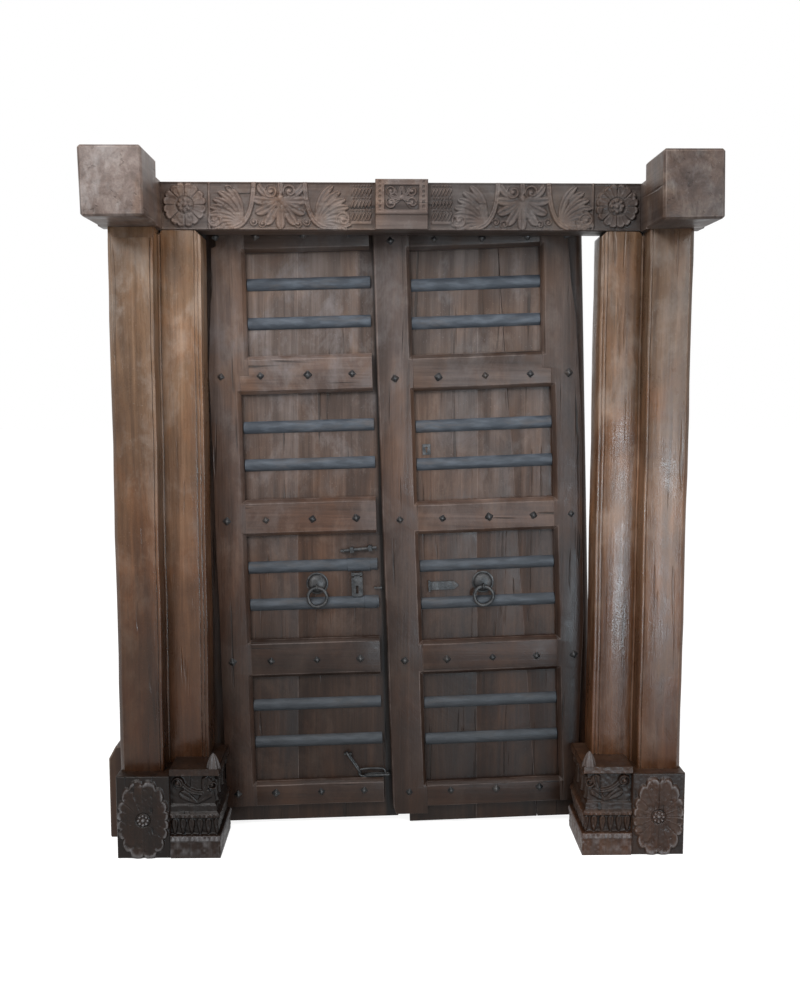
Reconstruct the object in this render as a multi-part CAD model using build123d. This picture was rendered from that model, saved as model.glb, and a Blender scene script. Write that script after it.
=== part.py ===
from build123d import *
import math
import os

# An old double-leaf timber door in its frame, in millimetres.
# X runs to the viewer's right, Y runs back through the doorway, Z runs up.
# Pieces are drawn about the middle of the doorway, with Y counted from the
# front face of the lintel. They are moved at the end, so that the origin lies
# on the floor, in the middle of the whole width and depth.

# Lintel and head blocks
lintel_bottom = 1925.0
lintel_height = 143.0
lintel_depth = 120.0
centre_block_half = 80.0
centre_block_proud = 14.0
centre_block_rise = 8.0
lintel_rebate_depth = 30.0
lintel_rebate_height = 24.0
head_block_width = 176.0
head_block_overlap = 14.0
head_block_height = 195.0
head_block_front = 277.0
head_block_back = 58.0
head_block_chamfer = 7.0

# Carving on the lintel: places across it, counted from the middle
rosette_place = 655.0
rosette_radius = 62.0
divider_place = 580.0
outer_fan_place = 520.0
palmette_place = 366.0
inner_fan_place = 225.0
weave_start = 90.0
weave_end = 150.0
carving_rise = 6.0
carving_taper = 15.0
carving_sunk = 1.0

# Posts
jamb_half = 610.0
inner_post_width = 130.0
outer_post_width = 135.0
outer_post_proud = 75.0
outer_post_depth = 165.0
outer_post_bevel = 13.0
bead_width = 8.0
quirk_width = 3.0
quirk_depth = 4.0
inner_post_top_chamfer = 16.0
left_post_notch_height = 33.0
left_post_notch_depth = 14.0

# Plinths and ground blocks
plinth_front = 120.0
plinth_overhang = 48.0
plinth_width = 164.0
inner_plinth_width = 154.0
outer_plinth_height = 262.0
outer_plinth_back = 45.0
inner_plinth_height = 283.0
plinth_corner_round = 14.0
finial_width = 32.0
finial_height = 50.0
finial_depth = 30.0
plinth_rosette_height = 124.0
plinth_rosette_boss = 26.0
left_ground_overhang = 60.0
right_ground_overhang = 13.0
ground_knee_rise = 42.0
ground_knee_slope = 24.0
ground_arm_height = 281.0
ground_arm_clear = 53.0
ground_seat_height = 45.0
ground_socket_floor = 6.0
ground_nose_radius = 27.0

# Head beam behind the lintel
head_beam_bearing = 105.0
head_beam_bottom = 1985.0
head_beam_socket_top = 2034.0
frame_back = 235.0
peg_radius = 11.0
peg_places = (-480.0, -160.0, 160.0, 480.0)

# Leaf layers, from front to back
leaf_front = 122.0
stile_thickness = 30.0
meeting_stile_thickness = 28.0
plank_thickness = 25.0
plank_gap = 1.5
ledger_thickness = 30.0
ledger_height = 88.0
pivot_thickness = 60.0
pivot_edge = 30.0
pin_radius = 17.0
pin_clearance = 0.3
panel_bevel = 13.0
panel_step = 16.0

# Leaves: heights and widths run along the leaf, from the axis of its pins
leaf_top = 1960.0
pivot_bottom = 50.0
pivot_top = 1975.0
left_pin_inset = 13.0
left_lean = 1.45
right_pin_outset = 8.0
right_lean = 2.0
left_rail_short = 65.0
left_plank_short = 20.0
left_ledger_short = 45.0
right_plank_short = 26.0
right_ledger_short = 50.0
meeting_stile_start = 85.0
meeting_stile_lap = 30.0

# Iron fittings
strap_height = 40.0
strap_proud = 13.0
strap_end_gap = 1.5
nail_head = 26.0
nail_head_rise = 9.0
nail_head_rim = 2.0
ring_mean_radius = 30.5
ring_bar = 7.0
ring_sides = 16
ring_plane = 22.0
boss_radius = 33.0
boss_rise = 16.0
boss_rim = 3.0
boss_sides = 12
eye_thickness = 6.0
eye_radius = 8.0
eye_drop = 12.5
eye_clearance = 0.6
collar_wall = 2.0
bolt_radius = 5.0
bolt_length = 118.0
bolt_tilt = 4.0
bolt_short = 61.0
bolt_up = 915.0
bolt_grip_radius = 3.0
bolt_grip_length = 14.0
bolt_grip_inset = 10.0
keeper_places = (-22.0, 38.0)
keeper_width = 12.0
keeper_wall = 4.0
keeper_clearance = 0.3
hasp_width = 36.0
hasp_length = 74.0
hasp_thickness = 4.0
hasp_slot_width = 9.0
hasp_slot_height = 26.0
hasp_pin_radius = 3.0
hasp_knuckle_radius = 6.0
hasp_pin_clearance = 0.3
hasp_short = 69.0
hasp_up = 832.0
hasp_staple_proud = 12.0
hasp_staple_up = 787.0
link_bar = 6.0
link_gap = 0.3
link_slack = 2.0
slim_link_width = 24.0
wide_link_width = 33.0
wide_link_length = 96.0
wide_link_short = 37.0
lying_link_step = 18.0
lying_link_length = 90.0
chain_staple_short = 116.0
chain_staple_up = 232.0
staple_bar = 5.0
latch_short = 27.0
latch_up = 822.0
latch_length = 100.0
latch_height = 27.0
latch_point = 16.0
keyhole_short = 35.0
keyhole_up = 1269.0
keyhole_plate_thickness = 3.0

# Derived places
lintel_top = lintel_bottom + lintel_height
head_beam_half = jamb_half + head_beam_bearing
plinth_half = jamb_half - plinth_overhang
left_axis = left_pin_inset - jamb_half
right_axis = jamb_half + right_pin_outset
left_rail_end = jamb_half - left_rail_short
right_rail_end = jamb_half - meeting_stile_start
meeting_edge = jamb_half + meeting_stile_lap
post_split = jamb_half + inner_post_width
head_block_inner = post_split - head_block_overlap
post_outer = post_split + outer_post_width
plinth_split = plinth_half + inner_plinth_width
plinth_outer = plinth_split + plinth_width
plank_front = leaf_front + stile_thickness
plank_back = plank_front + plank_thickness
pivot_y = plank_front + pivot_thickness / 2
ring_y = plank_front - ring_plane
shift_back = (head_block_front - frame_back) / 2
shift_right = (plinth_outer + left_ground_overhang - head_block_inner - head_block_width) / 2

# Each leaf: outlines of its stiles, rails, planks, nails and fittings.
# "out" counts from the pin axis towards the free edge, "up" from the floor.
LEFT = {
    "side": "left",
    "axis": left_axis,
    "lean": left_lean,
    "hinge_edge": [(27, 69), (27, 1500), (40, 1690), (49, 1885), (64, 1889), (64, leaf_top)],
    "hinge_inner": 124.0,
    "hinge_inner_top": 152.0,
    "hinge_bottom": 70.0,
    "rails": [(70, 150), (500, 626), (968, 1086), (1424, 1545), (1868, leaf_top)],
    "rail_start": 124.0,
    "rail_end": left_rail_end,
    "plank_edges": [(30.0, 30.0), (258.0, 322.0), (jamb_half - left_plank_short,) * 2],
    "plank_bottom": 10.0,
    "strap_heights": [279, 404, 739, 863, 1197, 1318, 1648, 1770],
    "strap_end": left_rail_end + 1,
    "nail_rows": [112, 557, 1020, 1482, 1917],
    "nail_columns": [64, 189, 339, left_rail_end - 65],
    "ledger_end": jamb_half - left_ledger_short,
    "ring": (left_rail_end - 199, 762.0),
    "missing_nails": (),
}
RIGHT = {
    "side": "right",
    "axis": right_axis,
    "lean": right_lean,
    "hinge_edge": [(32, 88), (18, 300), (-4, 700), (-8, 1376), (3, 1678), (17, 1781), (27, leaf_top)],
    "hinge_inner": 84.0,
    "hinge_inner_top": 112.0,
    "hinge_bottom": 88.0,
    "rails": [(88, 168), (531, 645), (996, 1102), (1457, 1572), (1900, leaf_top)],
    "rail_start": 84.0,
    "rail_end": right_rail_end,
    "plank_edges": [(30.0, 30.0), (160.0, 245.0), (362.0, 305.0), (jamb_half - right_plank_short,) * 2],
    "plank_bottom": 25.0,
    "strap_heights": [308, 431, 765, 889, 1221, 1344, 1673, 1792],
    "strap_end": right_rail_end,
    "nail_rows": [138, 582, 1046, 1500, 1930],
    "nail_columns": [30, 152, 296, right_rail_end - 79, right_rail_end + 59],
    "ledger_end": jamb_half - right_ledger_short,
    "ring": (right_rail_end - 206, 786.0),
    "missing_nails": ((0, 0),),
    "meeting": (right_rail_end, meeting_edge),
    "meeting_bottom": 62.0,
}
meeting_corner = 10.0
ledger_rows = (0, 2, 4)


def bar(x0, x1, y0, y1, z0, z1):
    """A box given by its lowest and highest corners."""
    middle = ((x0 + x1) / 2, (y0 + y1) / 2, (z0 + z1) / 2)
    return Pos(*middle) * Box(abs(x1 - x0), abs(y1 - y0), abs(z1 - z0))


def slab(points, y0, y1):
    """An outline in the plane of the door, given thickness from y0 back to y1."""
    face = make_face(Polyline(*[(x, 0, z) for x, z in points], close=True))
    return Pos(0, y0, 0) * extrude(face, amount=y1 - y0, dir=(0, 1, 0))


def rod(radius, length, x, y, z, direction="z"):
    """A round bar that starts at a point and runs along one axis."""
    turn = {"x": Rot(0, 90, 0), "y": Rot(-90, 0, 0), "z": Rot(0, 0, 0)}[direction]
    bottom = (Align.CENTER, Align.CENTER, Align.MIN)
    return Pos(x, y, z) * turn * Cylinder(radius, length, align=bottom)


def sided(part, side):
    """Frame pieces are drawn on the right and mirrored for the left."""
    return mirror(part, about=Plane.YZ) if side == "left" else part


def quirk(x, y, z0, z1):
    """The narrow groove that sets a bead off from the face of a post."""
    return bar(x, x + quirk_width, y - 1, y + quirk_depth, z0 - 1, z1 + 1)


def outer_post(side):
    front = -outer_post_proud
    back = front + outer_post_depth
    post = bar(post_split, post_outer, front, back, outer_plinth_height, lintel_bottom)
    bevelled = post.edges().filter_by(Axis.Z).group_by(Axis.Y)[0].sort_by(Axis.X)[-1]
    post = chamfer(bevelled, length=outer_post_bevel)
    bead = post.edges().filter_by(Axis.Z).group_by(Axis.Y)[0].sort_by(Axis.X)[0]
    post = fillet(bead, radius=bead_width / 2)
    post -= quirk(post_split + bead_width, front, outer_plinth_height, lintel_bottom)
    if side == "left":
        notch_bottom = lintel_bottom - left_post_notch_height
        notch_back = front + left_post_notch_depth
        post -= bar(post_split - 1, post_outer + 1, front - 1, notch_back, notch_bottom, lintel_bottom + 1)
    return sided(post, side)


def inner_post(side):
    post = bar(jamb_half, post_split, 0, lintel_depth, inner_plinth_height, lintel_bottom)
    foot = bar(plinth_split, post_split, 0, lintel_depth, outer_plinth_height, inner_plinth_height)
    corners = post.edges().filter_by(Axis.Y).group_by(Axis.Z)[-1]
    post = chamfer(corners, length=inner_post_top_chamfer)
    post = post + foot
    for place in (jamb_half + bead_width, jamb_half + 2 * bead_width + quirk_width, post_split - bead_width):
        post -= quirk(place, 0, outer_plinth_height, lintel_bottom)
    return sided(post, side)


def head_block(side):
    inner = head_block_inner
    outer = inner + head_block_width
    top = lintel_bottom + head_block_height
    cube = bar(inner, outer, -head_block_front, -head_block_back, lintel_bottom, top)
    cube = chamfer(cube.edges(), length=head_block_chamfer)
    neck = bar(inner, outer, -head_block_back - 2 * head_block_chamfer, 0, lintel_bottom, lintel_top)
    return sided(cube + neck, side)


def lintel():
    beam = bar(-post_outer, post_outer, 0, lintel_depth, lintel_bottom, lintel_top)
    centre_top = lintel_top + centre_block_rise
    centre = bar(-centre_block_half, centre_block_half, -centre_block_proud, lintel_depth,
                 lintel_bottom, centre_top)
    rebate = bar(-jamb_half, jamb_half, lintel_depth - lintel_rebate_depth, lintel_depth + 1,
                 lintel_bottom - 1, lintel_bottom + lintel_rebate_height)
    carving = [Pos(0, carving_sunk, 0) * upright(piece) for piece in frieze()]
    framed = [Pos(0, carving_sunk - centre_block_proud, 0) * upright(piece) for piece in centre_carving()]
    return (beam + centre - rebate) + carving + framed


def upright(piece):
    """Stands a carving up: it is drawn flat, with its own Z towards the viewer."""
    return Rot(90, 0, 0) * piece


def raised(points, rise=carving_rise):
    """A carved shape with sloping sides, from its outline, which runs anticlockwise."""
    face = make_face(Polyline(*points, close=True))
    return extrude(face, amount=rise + carving_sunk, taper=carving_taper)


def knob(x, z, radius, rise=carving_rise, sides=6):
    shape = extrude(RegularPolygon(radius, sides), amount=rise + carving_sunk, taper=carving_taper)
    return Pos(x, z, 0) * shape


def carved_leaf(x, z, angle, length, width, start=0.0, rise=carving_rise):
    """One rounded leaf that grows from a point at an angle."""
    stations = ((0.0, 0.22), (0.74, 0.5), (1.0, 0.22))
    lower = [(along * length, -half * width) for along, half in stations]
    upper = [(along, -half) for along, half in reversed(lower)]
    return Pos(x, z, 0) * Rot(0, 0, angle) * Pos(start, 0, 0) * raised(lower + upper, rise)


def lobed_petal(x, z, angle, length, width, start, rise=carving_rise):
    """A heart-shaped petal, with a notch in the middle of its edge."""
    stations = ((0.0, 0.13), (0.74, 0.5), (1.0, 0.24))
    lower = [(along * length, -half * width) for along, half in stations]
    upper = [(along, -half) for along, half in reversed(lower)]
    outline = lower + [(0.92 * length, 0)] + upper
    return Pos(x, z, 0) * Rot(0, 0, angle) * Pos(start, 0, 0) * raised(outline, rise)


def stem(start, bend, end, width):
    """A curved stalk between two points, drawn towards a third."""
    left, right = [], []
    steps = 5
    for step in range(steps + 1):
        t = step / steps
        weights = ((1 - t) ** 2, 2 * t * (1 - t), t ** 2)
        x, z = [sum(w * p[axis] for w, p in zip(weights, (start, bend, end))) for axis in (0, 1)]
        legs = [(bend[axis] - start[axis], end[axis] - bend[axis]) for axis in (0, 1)]
        along = [(1 - t) * first + t * last for first, last in legs]
        length = math.hypot(*along)
        across = (-along[1] / length * width / 2, along[0] / length * width / 2)
        left.append((x + across[0], z + across[1]))
        right.append((x - across[0], z - across[1]))
    return raised(right + left[::-1], 0.8 * carving_rise)


def scroll(x, z, radius):
    return knob(x, z, radius, 0.6 * carving_rise, 8) + knob(x, z, 0.5 * radius, 1.2 * carving_rise, 6)


def rosette(x, z, radius):
    """A round flower: eight petals round a stepped boss."""
    pieces = [knob(x, z, 0.38 * radius, carving_rise, 8), knob(x, z, 0.16 * radius, 1.7 * carving_rise)]
    for number in range(8):
        angle = 45 * number + 22.5
        pieces.append(lobed_petal(x, z, angle, 0.54 * radius, 0.52 * radius, 0.46 * radius))
    return pieces


def palmette(x):
    """A full palmette: a fan of leaves hangs from a crown with two scrolls."""
    crown = lintel_top - 42
    pieces = [scroll(x + side * 26, crown + 20, 14) for side in (-1, 1)]
    pieces.append(carved_leaf(x, crown + 8, 90, 28, 16))
    for number in range(9):
        angle = -172 + 20.5 * number
        reach = 62 + 24 * abs(math.sin(math.radians(angle)))
        pieces.append(carved_leaf(x, crown, angle, reach - 14, 17, 14))
    return pieces


def half_palmette(x, hand):
    """Leaves that fan up from a curling stalk; hand gives the way they lean."""
    foot = (x - hand * 26, lintel_bottom + 20)
    pieces = []
    for number in range(6):
        angle = 106 - 21 * number
        if hand < 0:
            angle = 180 - angle
        reach = 112 - 11 * number
        pieces.append(carved_leaf(foot[0], foot[1], angle, reach - 22, 17, 22))
    pieces.append(scroll(x + hand * 38, lintel_bottom + 30, 17))
    pieces.append(stem((x - hand * 62, lintel_top - 8), (x - hand * 46, lintel_bottom + 40),
                       (x + hand * 8, lintel_bottom + 10), 8))
    return pieces


def weave(start, end):
    """Slanting strokes in three rows."""
    pieces = []
    count = 4
    pitch = (end - start) / count
    for row in range(3):
        base = lintel_bottom + 34 + 34 * row
        for number in range(count):
            x = start + pitch * number
            points = [(x + 1, base), (x + 5, base), (x + pitch - 1, base + 20), (x + pitch - 5, base + 20)]
            pieces.append(raised(points, 0.5 * carving_rise))
    return pieces


def frieze():
    """The whole carved band. Its two halves differ only in the lean of the leaves."""
    middle = (lintel_bottom + lintel_top) / 2 + 4
    pieces = []
    for side in (-1, 1):
        pieces += rosette(side * rosette_place, middle, rosette_radius)
        divider = side * divider_place
        pieces.append(raised([(divider - 3, lintel_bottom + 6), (divider + 3, lintel_bottom + 6),
                              (divider + 3, lintel_top - 6), (divider - 3, lintel_top - 6)]))
        pieces += half_palmette(side * outer_fan_place, 1 if side > 0 else -1)
        pieces += palmette(side * palmette_place)
        pieces += half_palmette(side * inner_fan_place, -1 if side > 0 else 1)
        pieces.append(scroll(side * (palmette_place - 76), lintel_bottom + 22, 9))
        pieces.append(scroll(side * (palmette_place + 80), lintel_bottom + 24, 9))
    pieces += weave(-weave_end, -weave_start) + weave(weave_start, weave_end)
    return pieces


def centre_carving():
    """The middle block: a square field of scrollwork between two rows of beads."""
    pieces = []
    field_low = lintel_bottom + 58
    field_high = lintel_top - 8
    middle = (field_low + field_high) / 2
    for side in (-1, 1):
        for number in range(4):
            pieces.append(knob(side * 66, field_low + 10 + number * 18, 5))
        pieces.append(scroll(side * 24, middle - 8, 15))
        pieces.append(carved_leaf(side * 8, middle, 90 - side * 38, 34, 14, 6))
    ledge_low, ledge_high = field_low - 18, field_low - 8
    pieces.append(raised([(-72, ledge_low), (72, ledge_low), (72, ledge_high), (-72, ledge_high)]))
    pieces.append(knob(0, middle - 14, 9))
    return pieces


def outer_plinth(side):
    plinth = bar(plinth_split, plinth_outer, -plinth_front, outer_plinth_back, 0, outer_plinth_height)
    outer_edge = plinth.edges().filter_by(Axis.Z).group_by(Axis.Y)[0].sort_by(Axis.X)[-1]
    plinth = chamfer(outer_edge, length=plinth_corner_round / 2)
    x = (plinth_split + plinth_outer) / 2
    carving = [Pos(0, carving_sunk - plinth_front, 0) * upright(piece) for piece in plinth_flower(x)]
    return sided(plinth + carving, side)


def plinth_flower(x):
    """The large flower that fills a plinth: eight lobed petals round a stepped boss."""
    z = plinth_rosette_height
    reach = plinth_width / 2 - 5
    pieces = [knob(x, z, plinth_rosette_boss, carving_rise, 10)]
    pieces.append(knob(x, z, plinth_rosette_boss / 2, 1.7 * carving_rise, 8))
    for number in range(8):
        turn = math.radians(45 * number)
        length = reach - 26 + 46 * abs(math.sin(turn)) ** 3
        pieces.append(lobed_petal(x, z, 45 * number, length, 56, 25))
    return pieces


def inner_plinth(side):
    """Stacked mouldings, stepped on the front and on the doorway side."""
    steps = [(0, 56, 0), (56, 72, -2), (72, 128, 14), (128, 140, 4), (140, 170, 10),
             (170, 262, 16), (262, inner_plinth_height, 2)]
    courses = []
    for bottom, top, inset in steps:
        courses.append(bar(plinth_half + max(inset, 0), plinth_split, -plinth_front + max(inset, 0),
                           lintel_depth, bottom, top))
    front = carving_sunk - plinth_front
    carving = [Pos(0, front + inset, 0) * upright(piece) for inset, piece in plinth_carving()]
    return sided(courses[0] + courses[1:] + carving + [finial()], side)


def plinth_carving():
    """Pairs of how far back a course stands and one carving on its front."""
    pieces = []
    left = plinth_half + 20
    pitch = (plinth_split - left - 6) / 6
    for number in range(6):
        x = left + pitch * (number + 0.5)
        flute = [(x - 8, 8), (x + 8, 8), (x + 8, 46), (x - 8, 46)]
        pieces.append((0, raised(flute, 0.6 * carving_rise)))
        pieces.append((14, lobed_petal(x, 76, 90, 44, 22, 2)))
        pieces.append((4, raised([(x - 9, 130), (x + 9, 130), (x, 139)], 0.5 * carving_rise)))
    panel = (plinth_half + plinth_split) / 2 + 6
    for turn in (35, 145):
        pieces.append((16, carved_leaf(panel - 10, 176, turn, 56, 26, 4)))
    pieces.append((16, stem((panel + 46, 252), (panel + 28, 205), (panel - 20, 200), 12)))
    pieces.append((16, scroll(panel + 44, 236, 17)))
    pieces.append((16, carved_leaf(panel - 20, 206, 90, 44, 30)))
    return pieces


def finial():
    """The pointed leaf that stands on the inner front corner of a plinth."""
    point = 4.0
    low = (finial_width - point) / 2
    deep = (finial_depth - point) / 2
    tip = Wedge(finial_width, finial_height, finial_depth, low, deep, low + point, deep + point)
    x = plinth_half + 4 + finial_width / 2
    y = -plinth_front + 6 + finial_depth / 2
    return Pos(x, y, inner_plinth_height + finial_height / 2 - 1) * Rot(90, 0, 0) * tip


def ground_block(side, leaf):
    """The block behind the plinths, with the socket of a leaf's lower pin."""
    overhang = left_ground_overhang if side == "left" else right_ground_overhang
    outer = plinth_outer + overhang
    axis = abs(leaf["axis"])
    arm_inner = axis + ground_arm_clear
    body = bar(plinth_split, outer, outer_plinth_back, frame_back, 0, outer_plinth_height)
    knee_top = outer_plinth_height + ground_knee_rise
    slope = min(ground_knee_slope, overhang - 1)
    knee = slab([(post_outer, outer_plinth_height), (outer, outer_plinth_height), (outer - slope, knee_top),
                 (post_outer, knee_top)], outer_plinth_back, frame_back)
    arm = bar(arm_inner, plinth_split, lintel_depth, frame_back, 0, ground_arm_height)
    seat = bar(axis, arm_inner, pivot_y - ground_nose_radius, pivot_y + ground_nose_radius,
               0, ground_seat_height)
    nose = rod(ground_nose_radius, ground_seat_height, axis, pivot_y, 0)
    block = sided(body + knee + arm + seat + nose, side)
    socket = rod(pin_radius + pin_clearance, 2 * ground_seat_height, 0, pivot_y, ground_socket_floor)
    return block - leaning(socket, leaf)


def head_beam():
    beam = bar(-head_beam_half, head_beam_half, lintel_depth, frame_back, head_beam_bottom, lintel_top)
    for leaf in (LEFT, RIGHT):
        depth = head_beam_socket_top - head_beam_bottom
        socket = rod(pin_radius + pin_clearance, 2 * depth, 0, pivot_y, head_beam_socket_top - 2 * depth)
        beam -= leaning(socket, leaf)
    for peg in head_beam_pegs(pin_clearance):
        beam -= peg
    return beam


def head_beam_pegs(clearance=0.0):
    """Eight-sided wooden pegs, driven in from the back."""
    z = (head_beam_bottom + lintel_top) / 2
    peg = extrude(RegularPolygon(peg_radius + clearance, 8), amount=frame_back - lintel_depth)
    return [Pos(x, lintel_depth, z) * Rot(-90, 0, 0) * peg for x in peg_places]


def leaning(part, leaf):
    """Puts a piece drawn on an upright leaf onto the leaning axis of its pins."""
    if leaf["side"] == "right":
        part = mirror(part, about=Plane.YZ)
    return Pos(leaf["axis"], 0, 0) * Rot(0, -leaf["lean"], 0) * part


def panels(leaf):
    """The openings between rails, as (inner edge, outer edge, bottom, top)."""
    openings = []
    rails = leaf["rails"]
    for number in range(len(rails) - 1):
        top_panel = number == len(rails) - 2
        inner = leaf["hinge_inner_top"] if top_panel else leaf["hinge_inner"]
        openings.append((inner, leaf["rail_end"], rails[number][1], rails[number + 1][0]))
    return openings


def panel_cutters(leaf):
    """Openings that widen to the front, so that their bevels meet in mitres."""
    cutters = []
    closed_end = leaf["side"] == "right"
    for inner, outer, bottom, top in panels(leaf):
        end = outer if closed_end else outer + 4 * panel_bevel
        width = end - inner
        height = top - bottom
        place = Pos((inner + end) / 2, plank_front, (bottom + top) / 2) * Rot(90, 0, 0)
        square = place * Rectangle(width, height)
        wide, high = width + 2 * panel_bevel, height + 2 * panel_bevel
        mouth = Pos(0, -stile_thickness - 1, 0) * place * Rectangle(wide, high)
        step = Pos(0, -panel_step, 0) * square
        cutters.append(extrude(square, amount=panel_step, dir=(0, -1, 0)))
        cutters.append(loft([step, mouth], ruled=True))
    return cutters


def hinge_stile(leaf):
    split = leaf["rails"][3][0] + 60
    points = list(leaf["hinge_edge"])
    points += [(leaf["hinge_inner_top"], leaf_top), (leaf["hinge_inner_top"], split),
               (leaf["hinge_inner"], split), (leaf["hinge_inner"], leaf["hinge_bottom"])]
    stile = slab(points, leaf_front, plank_front)
    for cutter in panel_cutters(leaf):
        stile -= cutter
    return stile


def meeting_stile(leaf):
    inner, outer = leaf["meeting"]
    bottom = leaf["meeting_bottom"]
    points = [(inner, bottom), (outer - meeting_corner, bottom), (outer, bottom + 3 * meeting_corner),
              (outer, leaf_top), (inner, leaf_top)]
    stile = slab(points, leaf_front, leaf_front + meeting_stile_thickness)
    edge = stile.edges().filter_by(Axis.Z).group_by(Axis.Y)[0].sort_by(Axis.X)[-1]
    stile = chamfer(edge, length=bead_width / 2)
    for cutter in panel_cutters(leaf):
        stile -= cutter
    return stile


def rail(leaf, number):
    bottom, top = leaf["rails"][number]
    start = leaf["rail_start"]
    if number >= 3:
        start = leaf["hinge_inner_top"]
    points = [(start, bottom), (leaf["rail_end"], bottom), (leaf["rail_end"], top), (start, top)]
    if number == 3:
        split = bottom + 60
        inner = leaf["hinge_inner"]
        points = [(inner, bottom), (leaf["rail_end"], bottom), (leaf["rail_end"], top), (start, top),
                  (start, split), (inner, split)]
    piece = slab(points, leaf_front, plank_front)
    for cutter in panel_cutters(leaf):
        piece -= cutter
    return piece


def plank(leaf, number):
    """Planks taper, so each joint has its own place at the foot and at the top."""
    foot_in, top_in = leaf["plank_edges"][number]
    foot_out, top_out = leaf["plank_edges"][number + 1]
    last = number == len(leaf["plank_edges"]) - 2
    gap = 0.0 if last else plank_gap
    bottom = leaf["plank_bottom"]
    points = [(foot_in, bottom), (foot_out - gap, bottom), (top_out - gap, leaf_top), (top_in, leaf_top)]
    return slab(points, plank_front, plank_back)


def pivot_stile(leaf):
    """The turning stile: rounded on its outer edge, with a pin at each end."""
    straight = bar(0, pivot_edge, plank_front, plank_front + pivot_thickness, pivot_bottom, pivot_top)
    rounded = rod(pivot_thickness / 2, pivot_top - pivot_bottom, 0, pivot_y, pivot_bottom)
    foot = ground_socket_floor + pin_clearance
    top = head_beam_socket_top - 4
    pin = rod(pin_radius, top - foot, 0, pivot_y, foot)
    return straight + rounded + pin


def ledger(leaf, row):
    middle = leaf["nail_rows"][row]
    half = ledger_height / 2
    top = min(middle + half, leaf_top)
    piece = bar(pivot_edge, leaf["ledger_end"], plank_back, plank_back + ledger_thickness, middle - half, top)
    end_edges = piece.edges().group_by(Axis.Y)[-1]
    return chamfer(end_edges, length=5)


def half_round(start, end, up, wall=0.0):
    """A half-round iron bar laid flat on the planks; wall thickens it."""
    half = strap_height / 2 + wall
    arc = ThreePointArc((start, plank_front, up - half), (start, plank_front - strap_proud - wall, up),
                        (start, plank_front, up + half))
    base = Line((start, plank_front, up + half), (start, plank_front, up - half))
    return extrude(make_face([arc, base]), amount=end - start, dir=(1, 0, 0))


def straps(leaf, lower):
    heights = leaf["strap_heights"][:4] if lower else leaf["strap_heights"][4:]
    pieces = []
    for up in heights:
        top_panel = up > leaf["rails"][3][1]
        start = leaf["hinge_inner_top"] if top_panel else leaf["hinge_inner"]
        pieces.append(half_round(start + strap_end_gap, leaf["strap_end"] - strap_end_gap, up))
    return pieces


def strap_collars(leaf):
    """Short sleeves hammered round two of the straps beside the meeting edge."""
    collars = []
    for start, end, number in ((447, 520, 3), (500, 539, 2)):
        up = leaf["strap_heights"][number]
        collars.append(half_round(start, end, up, collar_wall) - half_round(start - 1, end + 1, up))
    return collars


def nail(out, up, turn):
    """A square nail head, forged to a low pyramid."""
    point = nail_head / 2 - 1
    slope = nail_head_rise - nail_head_rim
    rim = Pos(0, nail_head_rim / 2, 0) * Box(nail_head, nail_head_rim, nail_head)
    tip = Wedge(nail_head, slope, nail_head, point, point, nail_head - point, nail_head - point)
    head = rim + Pos(0, nail_head_rim + slope / 2, 0) * tip
    return Pos(out, leaf_front, up) * Rot(0, 0, 180) * Rot(0, turn, 0) * head


def nails(leaf):
    heads = []
    for row, up in enumerate(leaf["nail_rows"]):
        for column, out in enumerate(leaf["nail_columns"]):
            turn = 45 + 17 * math.sin(2.3 * row + 4.1 * column)
            if (row, column) not in leaf["missing_nails"]:
                heads.append(nail(out, up, turn))
    return heads


def ring_eye_place(leaf):
    out, up = leaf["ring"]
    return out, up + ring_mean_radius


def frustum(lower, upper, sides, low, high):
    """A many-sided cone with its top cut off."""
    slope = math.degrees(math.atan((lower - upper) * math.cos(math.pi / sides) / (high - low)))
    return Pos(0, 0, low) * extrude(RegularPolygon(lower, sides), amount=high - low, taper=slope)


def ring_boss(leaf):
    """A domed boss with the eye that carries the ring."""
    out, eye_up = ring_eye_place(leaf)
    up = eye_up + eye_drop
    rim = extrude(RegularPolygon(boss_radius, boss_sides), amount=boss_rim)
    dome = rim
    base, low = boss_radius, boss_rim
    for share, high in ((0.8, 0.6), (0.42, 0.9), (0.18, 1.0)):
        top = boss_rim + high * (boss_rise - boss_rim)
        dome += frustum(base, share * boss_radius, boss_sides, low, top)
        base, low = share * boss_radius, top
    dome = Pos(out, plank_front, up) * Rot(90, 0, 0) * dome
    lug = bar(out - eye_thickness / 2, out + eye_thickness / 2, ring_y, plank_front,
               eye_up - eye_radius, eye_up + eye_radius)
    loop = rod(eye_radius, eye_thickness, out - eye_thickness / 2, ring_y, eye_up, "x")
    hole = rod(ring_bar / 2 + eye_clearance, 2 * eye_thickness, out - eye_thickness, ring_y, eye_up, "x")
    return dome + lug + loop - hole


def bent_bar(points, width, sides):
    """A forged bar that follows a closed path of short straight runs."""
    middle = ((points[0][0] + points[1][0]) / 2, (points[0][1] + points[1][1]) / 2)
    path = Polyline(middle, *points[1:], points[0], middle)
    along = (points[1][0] - points[0][0], points[1][1] - points[0][1], 0)
    section = Plane(origin=(*middle, 0), z_dir=along) * RegularPolygon(width / 2, sides)
    return sweep(section, path=path, transition=Transition.RIGHT)


def ring(leaf):
    """A forged ring of eight-sided bar."""
    out, up = leaf["ring"]
    turns = [math.radians(360 / ring_sides * (number + 0.5)) for number in range(ring_sides)]
    reach = ring_mean_radius / math.cos(math.pi / ring_sides)
    points = [(reach * math.cos(turn), reach * math.sin(turn)) for turn in turns]
    return Pos(out, ring_y, up) * Rot(90, 0, 0) * bent_bar(points, ring_bar, 8)


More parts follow.
